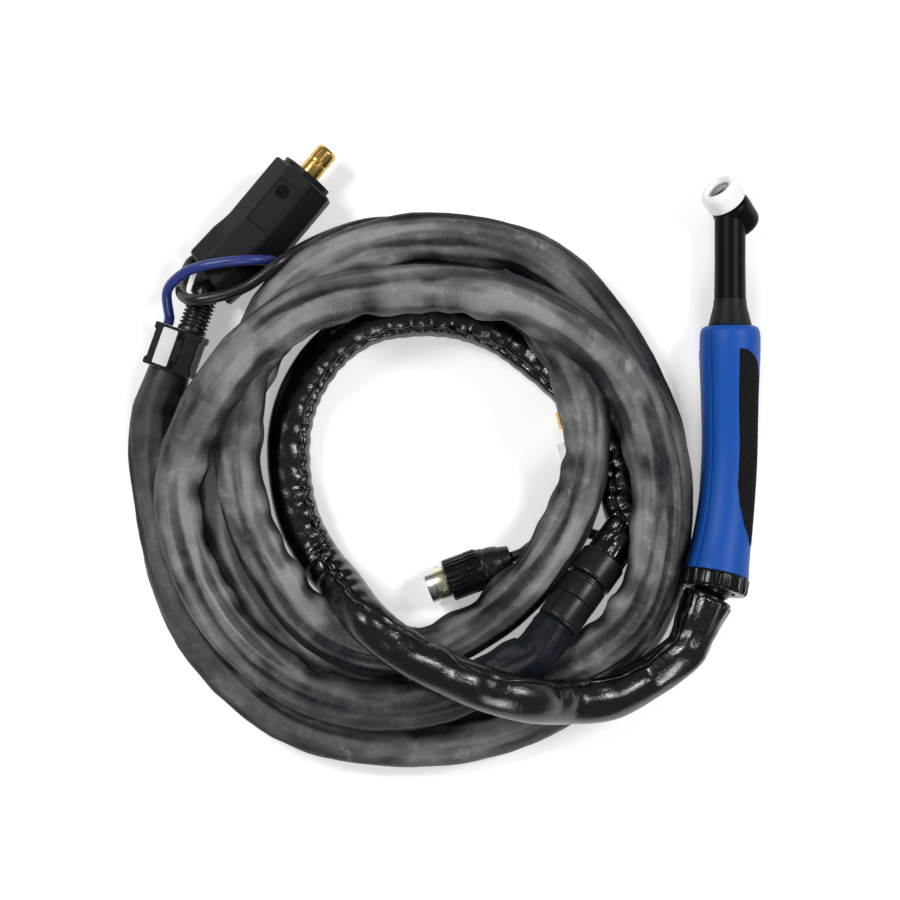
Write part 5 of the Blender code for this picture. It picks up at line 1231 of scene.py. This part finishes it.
class TORCH_OT_handle(TorchOperator, bpy.types.Operator):
    """The two blue handle shells, with the parting line between them, and their soft grips"""

    bl_idname = "torch.handle"
    bl_label = "Handle and grips"

    def make(self):
        stations = self.stations()
        for side, name in ((1, "right"), (-1, "left")):
            shell = self.shell(f"handle_{name}", side, stations)
            stands_for(f"handle_shell_{name}")
            grip = self.grip(f"grip_{name}", side)
            stands_for(f"grip_inlay_{name}")
        carried(screw_steel(), "neck_lock_screw")

    def stations(self):
        """Smooth (distance, radius) stations along the handle."""
        ways = [Vector((along, radius, 0.0)) for along, radius in HANDLE_FORM]
        middle = smooth_route([ways[0] * 2 - ways[1], *ways, ways[-1] * 2 - ways[-2]], 6)[1:-1]
        body = [(spot.x, spot.y) for spot in middle]
        front, rim = (0.0, SHELL_FRONT_RADIUS), (HANDLE_LENGTH, SHELL_RIM_RADIUS)
        return [front, *body, rim, (HANDLE_LENGTH, SPIGOT_RADIUS), (SPIGOT_END, SPIGOT_RADIUS)]

    def shell(self, name, side, stations):
        steps = 44
        gap = SHELL_GAP
        points = []
        for along, radius in stations:
            ring = []
            for step in range(steps + 1):
                angle = -math.pi / 2 + math.pi * step / steps
                across, height = radius * math.cos(angle), radius * math.sin(angle)
                near = max(0.0, 1.0 - across / SHELL_EDGE)
                shrink = 1.0 - SHELL_EDGE_DROP * near * near / radius
                ring.append((side * max(across, gap), height * shrink))
            ring.append((side * gap, radius - SHELL_WALL))
            ring.insert(0, (side * gap, -(radius - SHELL_WALL)))
            points += [TORCH @ handle_point(along, across, height) for across, height in ring]
        made = piece(name, points, ring_faces(len(stations), steps + 3), blue_moulding(), "torch", 40)
        facing_out(made)
        return made

    def grip(self, name, side):
        """A patch that stands a little proud of the shell, with rounded edges."""
        rows, columns = 90, 22
        start, end = GRIP_LOWER_EDGE[0][0], GRIP_LOWER_EDGE[-1][0]
        points = []
        for row in range(-2, rows + 3):
            share = min(max(row, 0), rows) / rows
            share = share * share * (3 - 2 * share) * 0.35 + share * 0.65
            along = start + (end - start) * share
            along = min(max(along, start + 0.0001), end - 0.0001)
            low, high = (read_line(edge, along) + GRIP_LIFT for edge in (GRIP_LOWER_EDGE, GRIP_UPPER_EDGE))
            radius = read_line(HANDLE_FORM, along)
            for column in range(-2, columns + 3):
                across_share = min(max(column, 0), columns) / columns
                height = low + (high - low) * across_share
                outside = max(-column, column - columns, -row, row - rows, 0)
                inner = min(column, columns - column, row, rows - row)
                proud = (GRIP_PROUD if inner >= 1 else GRIP_EDGE_PROUD, *GRIP_SUNK)[outside]
                reach = math.sqrt(max(1e-9, (radius + proud) ** 2 - height**2))
                points.append(TORCH @ handle_point(along, side * reach, height))
        width = columns + 5
        faces = []
        for row in range(rows + 4):
            for column in range(width - 1):
                first = row * width + column
                faces.append((first, first + 1, first + width + 1, first + width))
        made = piece(name, points, faces, grip_rubber(), "torch", 60)
        facing_out(made)
        return made


class TORCH_OT_head(TorchOperator, bpy.types.Operator):
    """Black neck and head moulding, white insulator ring and the brass core in it"""

    bl_idname = "torch.head"
    bl_label = "Head and neck"

    def make(self):
        neck = eased(NECK_PROFILE, 0.0016, 4)
        head = eased(HEAD_PROFILE, 0.0060, 6)
        cover = turned("neck_moulding", neck, NECK, neck_black(), "torch", 72, closed=False)
        crown = turned("head_moulding", head, HEAD, neck_black(), "torch", 72, closed=False)
        self.grown_together(cover, crown)
        stands_for("neck_cover")
        cone = eased(CONE_PROFILE, 0.0004, 3, True)
        made = turned("neck_cone", cone, NECK, black_moulding(), "torch", 96)
        ring = eased(RING_PROFILE, 0.0007, 4, True)
        made = turned("insulator_ring", ring, HEAD, insulator_white(), "torch", 112)
        stands_for("cup_insulator")
        carried(turned_brass(), "cable_connector")
        # painted shade: the brass core deep in the ring's bore is coloured near black
        carried(painted_shade_black(), "head_core")
        carried(drawn_copper(), "neck_tube")
        carried(cable_jacket(), "handle_lead")

    def grown_together(self, cover, crown):
        """Joins the head to the neck with a soft fillet, as one moulding."""
        shape = bmesh.new()
        shape.from_mesh(cover.data)
        shape.from_mesh(crown.data)
        shape.to_mesh(cover.data)
        shape.free()
        bpy.data.objects.remove(crown, do_unlink=True)
        skin = cover.modifiers.new("skin", "REMESH")
        skin.mode = "VOXEL"
        skin.voxel_size = 0.00045
        skin.use_smooth_shade = True
        soften = cover.modifiers.new("fillet", "SMOOTH")
        soften.factor = 0.5
        soften.iterations = 5


class TORCH_OT_trigger(TorchOperator, bpy.types.Operator):
    """Trigger frame, button and switch"""

    bl_idname = "torch.trigger"
    bl_label = "Trigger"

    def make(self):
        carried(black_moulding(), "trigger_frame", "switch_body")
        carried(grip_rubber(), "trigger_button")
        carried(screw_steel(), "switch_leaf")


class TORCH_OT_joint(TorchOperator, bpy.types.Operator):
    """Ribbed collar nut, ball and cuff at the handle's rear"""

    bl_idname = "torch.joint"
    bl_label = "Ball joint"

    def make(self):
        front = HANDLE_LENGTH + SEAT_GAP - BALL_PLACE
        flutes = sizes().nut_flutes
        outer = ((0.0180, front), (0.0196, front), (0.0200, front + 0.0012))
        nut = eased((*outer, *NUT_REAR_PROFILE), 0.0005, 3, True)

        def ribbed(angle, radius, height):
            wave = math.cos(angle * flutes)
            cut = NUT_FLUTE_DEPTH * unit((0.35 - wave) * 2.2)
            inner = unit((radius - 0.0186) / 0.0010)
            return radius - cut * inner

        made = turned("collar_nut_ribbed", nut, JOINT, gloss_moulding(), "torch", 320, ribbed)
        stands_for("collar_nut")
        cuff = eased(CUFF_PROFILE, 0.0007, 3, True)
        made = turned("cover_cuff_ring", cuff, CUFF, gloss_moulding(), "cable_set", 96)
        stands_for("cover_cuff")
        tail_start = math.acos(TAIL_RADIUS / BALL_RADIUS)
        nose = -math.acos(BALL_BORE / BALL_RADIUS)
        ball = []
        for step in range(33):
            angle = nose + (tail_start - nose) * step / 32
            ball.append((BALL_RADIUS * math.cos(angle), BALL_RADIUS * math.sin(angle)))
        ball += [(TAIL_RADIUS, TAIL_END), (BALL_BORE, TAIL_END)]
        made = turned("swivel_ball_turned", ball, CUFF, gloss_moulding(), "cable_set", 96)
        stands_for("swivel_ball")
        carried(black_moulding(), "ball_cup")


class TORCH_OT_coupler(TorchOperator, bpy.types.Operator):
    """The three-part coupler between the leather cover and the hose"""

    bl_idname = "torch.coupler"
    bl_label = "Coupler"

    def make(self):
        for name, node, profile in (
            ("coupler_cap_turned", "coupler_cap", CAP_PROFILE),
            ("coupler_body_turned", "coupler_body", BODY_PROFILE),
            ("coupler_tail_turned", "coupler_tail", TAIL_PROFILE),
        ):
            made = turned(name, eased(profile, 0.0005, 3, True), COUPLER, satin_moulding(), "cable_set", 96)
            stands_for(node)


class TORCH_OT_strain_relief(TorchOperator, bpy.types.Operator):
    """Strain relief halves with their screws and the blank label plate"""

    bl_idname = "torch.strain_relief"
    bl_label = "Strain relief"

    def make(self):
        carried(black_moulding(), "strain_relief_top", "strain_relief_bottom")
        carried(gloss_moulding(), "strain_screw_front", "strain_screw_rear")
        half, middle, corner, top = LABEL_HALF, LABEL_MIDDLE, LABEL_CORNER, RELIEF_SIZE[2]
        outline = []
        for sign_x, sign_y, start in ((1, 1, 0), (-1, 1, 90), (-1, -1, 180), (1, -1, 270)):
            for step in range(7):
                angle = math.radians(start + 15 * step)
                outline.append((
                    middle[0] + sign_x * (half[0] - corner) + corner * math.cos(angle),
                    middle[1] + sign_y * (half[1] - corner) + corner * math.sin(angle),
                ))
        rings = [(0.0, 1.0), (0.00035, 1.0), (0.0005, 0.985), (0.0005, 0.90), (0.0004, 0.885), (0.0004, 0.2)]
        points = []
        for lift, share in rings:
            for x, y in outline:
                wide = middle[0] + (x - middle[0]) * share
                deep = middle[1] + (y - middle[1]) * (1 - (1 - share) * 0.4)
                points.append(RELIEF @ Vector((wide, deep, top + lift)))
        faces = ring_faces(len(rings), len(outline))
        facing_out(piece("label_plate", points, faces, blank_label(), "cable_set", 30))


class TORCH_OT_power_plug(TorchOperator, bpy.types.Operator):
    """Power plug, its ribbed boot and the cable between"""

    bl_idname = "torch.power_plug"
    bl_label = "Power plug"

    def make(self):
        carried(black_moulding(), "plug_housing", "plug_front_disc")
        self.recess_lines()
        across = PLUG @ Matrix.Rotation(math.pi / 2, 4, "Y")
        pin = eased(PIN_PROFILE, 0.0004, 3)

        def keyed(angle, radius, height):
            near = math.cos(angle - math.pi)
            if near > 0.96 and 0.0120 < height < 0.0160 and radius > 0.0055:
                return KEY_RADIUS
            return radius

        made = turned("plug_pin_turned", pin, across, turned_brass(), "cable_set", 96, keyed, closed=False)
        stands_for("plug_pin")
        ribs = sizes().boot_ribs
        pitch = (BOOT_LENGTH - 2 * BOOT_RIM) / ribs
        profile = [(0.0060, 0.0), (BOOT_RADIUS, 0.0), (BOOT_RADIUS, 0.0026)]
        for rib in range(ribs):
            start = BOOT_RIM + rib * pitch
            profile += [
                (BOOT_GROOVE, start + 0.10 * pitch), (BOOT_GROOVE, start + 0.32 * pitch),
                (BOOT_RADIUS, start + 0.48 * pitch), (BOOT_RADIUS, start + 0.86 * pitch),
            ]
        profile += [(BOOT_RADIUS, BOOT_LENGTH), (0.0060, BOOT_LENGTH)]

        def notched(angle, radius, height):
            if radius < 0.0080 or height < BOOT_RIM or height > BOOT_LENGTH - BOOT_RIM:
                return radius
            rib = int((height - BOOT_RIM) / pitch)
            notch = max(0.0, math.cos(8 * angle + math.pi * rib) - 0.70) / 0.30
            return radius - 0.0011 * notch

        profile = eased(profile, 0.00022, 2, True)
        made = turned("cable_boot_ribbed", profile, BOOT, cable_jacket(), "cable_set", 128, notched)
        stands_for("cable_boot")
        start, end = BOOT_START, straight_on(BOOT_START, OUT_OF_RELIEF, BOOT_LENGTH + 0.0083)
        spots = [start.lerp(end, step / 12) for step in range(13)]

        def section(index, angle):
            return round_at(angle, POWER_CABLE_RADIUS)

        made = strand("power_cable_jacket", spots, section, 32, cable_jacket(), "cable_set")
        stands_for("power_cable")

    def recess_lines(self):
        """Shadow lines round the housing's blank panel, across its top, and in its plain round recess."""
        points, faces = [], []

        def flat(corners, height):
            start = len(points)
            heights = (height, height - LINE_DEPTH)
            points.extend(PLUG @ Vector((x, y, level)) for level in heights for x, y in corners)
            count = len(corners)
            faces.append(tuple(start + corner for corner in range(count)))
            faces.append(tuple(start + count + corner for corner in reversed(range(count))))
            for corner in range(count):
                after = (corner + 1) % count
                faces.append((start + after, start + corner, start + count + corner, start + count + after))

        def bar(first, last, height):
            flat([first, (last[0], first[1]), last, (first[0], last[1])], height)

        top = PLUG_TOP - PANEL_DEPTH + 0.00012
        (left, low), (right, high) = PANEL_CORNERS
        bar((left, low), (right, low + LINE_WIDTH), top)
        bar((left, high - LINE_WIDTH), (right, high), top)
        bar((left, low), (left + LINE_WIDTH, high), top)
        bar((right - LINE_WIDTH, low), (right, high), top)
        bar((-0.0399, -0.0079), (-0.0396, 0.0079), PLUG_TOP + 0.00004)
        x, y = BADGE_PLACE
        turns = [math.tau * step / 40 for step in range(40)]
        ring = [(x + BADGE_RADIUS * math.cos(turn), y + BADGE_RADIUS * math.sin(turn)) for turn in turns]
        flat(ring, top - 0.0005)
        # painted shadow: near-black strips round the panel and across the housing's top, and the same near
        # black in the round recess
        made = piece("plug_recess_shadow", points, faces, painted_shade_black(), "cable_set", 30)
        facing_out(made)


class TORCH_OT_control_plug(TorchOperator, bpy.types.Operator):
    """Control plug: bayonet sleeve, ribbed ring, insert, back shell and gland"""

    bl_idname = "torch.control_plug"
    bl_label = "Control plug"

    def make(self):
        ribs = sizes().ring_ribs
        ring = eased(COUPLING_PROFILE, 0.0004, 3, True)
        profile = []
        for (first, start), (second, end) in zip(ring, ring[1:] + ring[:1]):
            count = max(1, int(abs(end - start) / 0.0004))
            profile += [
                (first + (second - first) * step / count, start + (end - start) * step / count)
                for step in range(count)
            ]

        def ribbed(angle, radius, height):
            """Long flutes, with a fine knurl on their front two thirds."""
            if radius < 0.0110 or height < -0.0330:
                return radius
            cut = FLUTE_DEPTH * unit((0.2 - math.cos(angle * ribs)) * 2.5)
            knurl = KNURL_DEPTH * (1.0 + math.sin(height * 5200.0)) if height > -0.0262 else 0.0
            return radius - max(cut, knurl)

        made = turned(
            "coupling_ring_grip", profile, CONTROL_PLUG, gloss_moulding(), "plug_ring", 320, ribbed, smooth=50
        )
        stands_for("coupling_ring")
        sleeve = eased(SLEEVE_PROFILE, 0.00025, 2, True)
        made = turned("bayonet_sleeve_rim", sleeve, CONTROL_PLUG, nickel_plate(), "plug_ring", 96)
        bands = made.data.attributes.new("band", "FLOAT", "POINT")
        home = CONTROL_PLUG.inverted()
        band = [float((home @ spot.co).z < -BAND_START) for spot in made.data.vertices]
        bands.data.foreach_set("value", band)
        stands_for("bayonet_sleeve")
        bush = eased(BUSH_PROFILE, 0.0002, 2, True)
        ahead = Matrix.Translation((0.0, 0.0, -BUSH_BACK))
        outward = Matrix.Rotation(math.pi / 2, 4, "Y")
        for number in range(1, 4):
            around = Matrix.Rotation(math.radians(120 * number - 58), 4, "Z")
            place = CONTROL_PLUG @ around @ ahead @ outward
            made = turned(f"bayonet_bush_{number}", bush, place, nickel_plate(), "plug_ring", 24)
            # painted shade: a near-black disc inside each bush's hole
            made = turned(
                f"bayonet_hole_shade_{number}", HOLE_PROFILE, place, painted_shade_black(), "plug_ring", 24, closed=False
            )
        carried(black_moulding(), "plug_insert")
        for name, node, profile in (
            ("backshell_turned", "connector_backshell", BACKSHELL_PROFILE),
            ("gland_turned", "cable_gland_nut", GLAND_PROFILE),
        ):
            profile = eased(profile, 0.0005, 3, True)
            made = turned(name, profile, CONTROL_PLUG, satin_moulding(), "cable_set", 72)
            stands_for(node)


class TORCH_OT_gas_fitting(TorchOperator, bpy.types.Operator):
    """Crimp ferrule, nipple and union nut of the gas hose"""

    bl_idname = "torch.gas_fitting"
    bl_label = "Gas fitting"

    def make(self):
        carried(turned_brass(), "gas_ferrule", "gas_nipple")
        carried(nickel_plate(), "gas_union_nut")


OPERATORS = (
    TORCH_OT_stage,
    TORCH_OT_outer_sheath,
    TORCH_OT_coupler,
    TORCH_OT_leather_cover,
    TORCH_OT_handle,
    TORCH_OT_head,
    TORCH_OT_trigger,
    TORCH_OT_joint,
    TORCH_OT_strain_relief,
    TORCH_OT_power_plug,
    TORCH_OT_control_plug,
    TORCH_OT_gas_fitting,
    TORCH_OT_leads,
)


class TORCH_PT_panel(bpy.types.Panel):
    """Lists the pieces in the sidebar"""

    bl_idname = "TORCH_PT_panel"
    bl_label = "TIG torch"
    bl_space_type = "VIEW_3D"
    bl_region_type = "UI"
    bl_category = "TIG Torch"

    def draw(self, context):
        for group in (context.scene.torch_sizes, context.scene.torch_colours):
            for name in group.__annotations__:
                self.layout.prop(group, name)
        for operator in OPERATORS:
            self.layout.operator(operator.bl_idname)


CLASSES = (TorchSizes, TorchColours, *OPERATORS, TORCH_PT_panel)


def register():
    for item in CLASSES:
        bpy.utils.register_class(item)
    bpy.types.Scene.torch_sizes = PointerProperty(type=TorchSizes)
    bpy.types.Scene.torch_colours = PointerProperty(type=TorchColours)


def unregister():
    del bpy.types.Scene.torch_colours
    del bpy.types.Scene.torch_sizes
    for item in reversed(CLASSES):
        bpy.utils.unregister_class(item)


def main():
    register()
    for operator in OPERATORS:
        group, name = operator.bl_idname.split(".")
        getattr(getattr(bpy.ops, group), name)()


if __name__ == "__main__":
    main()
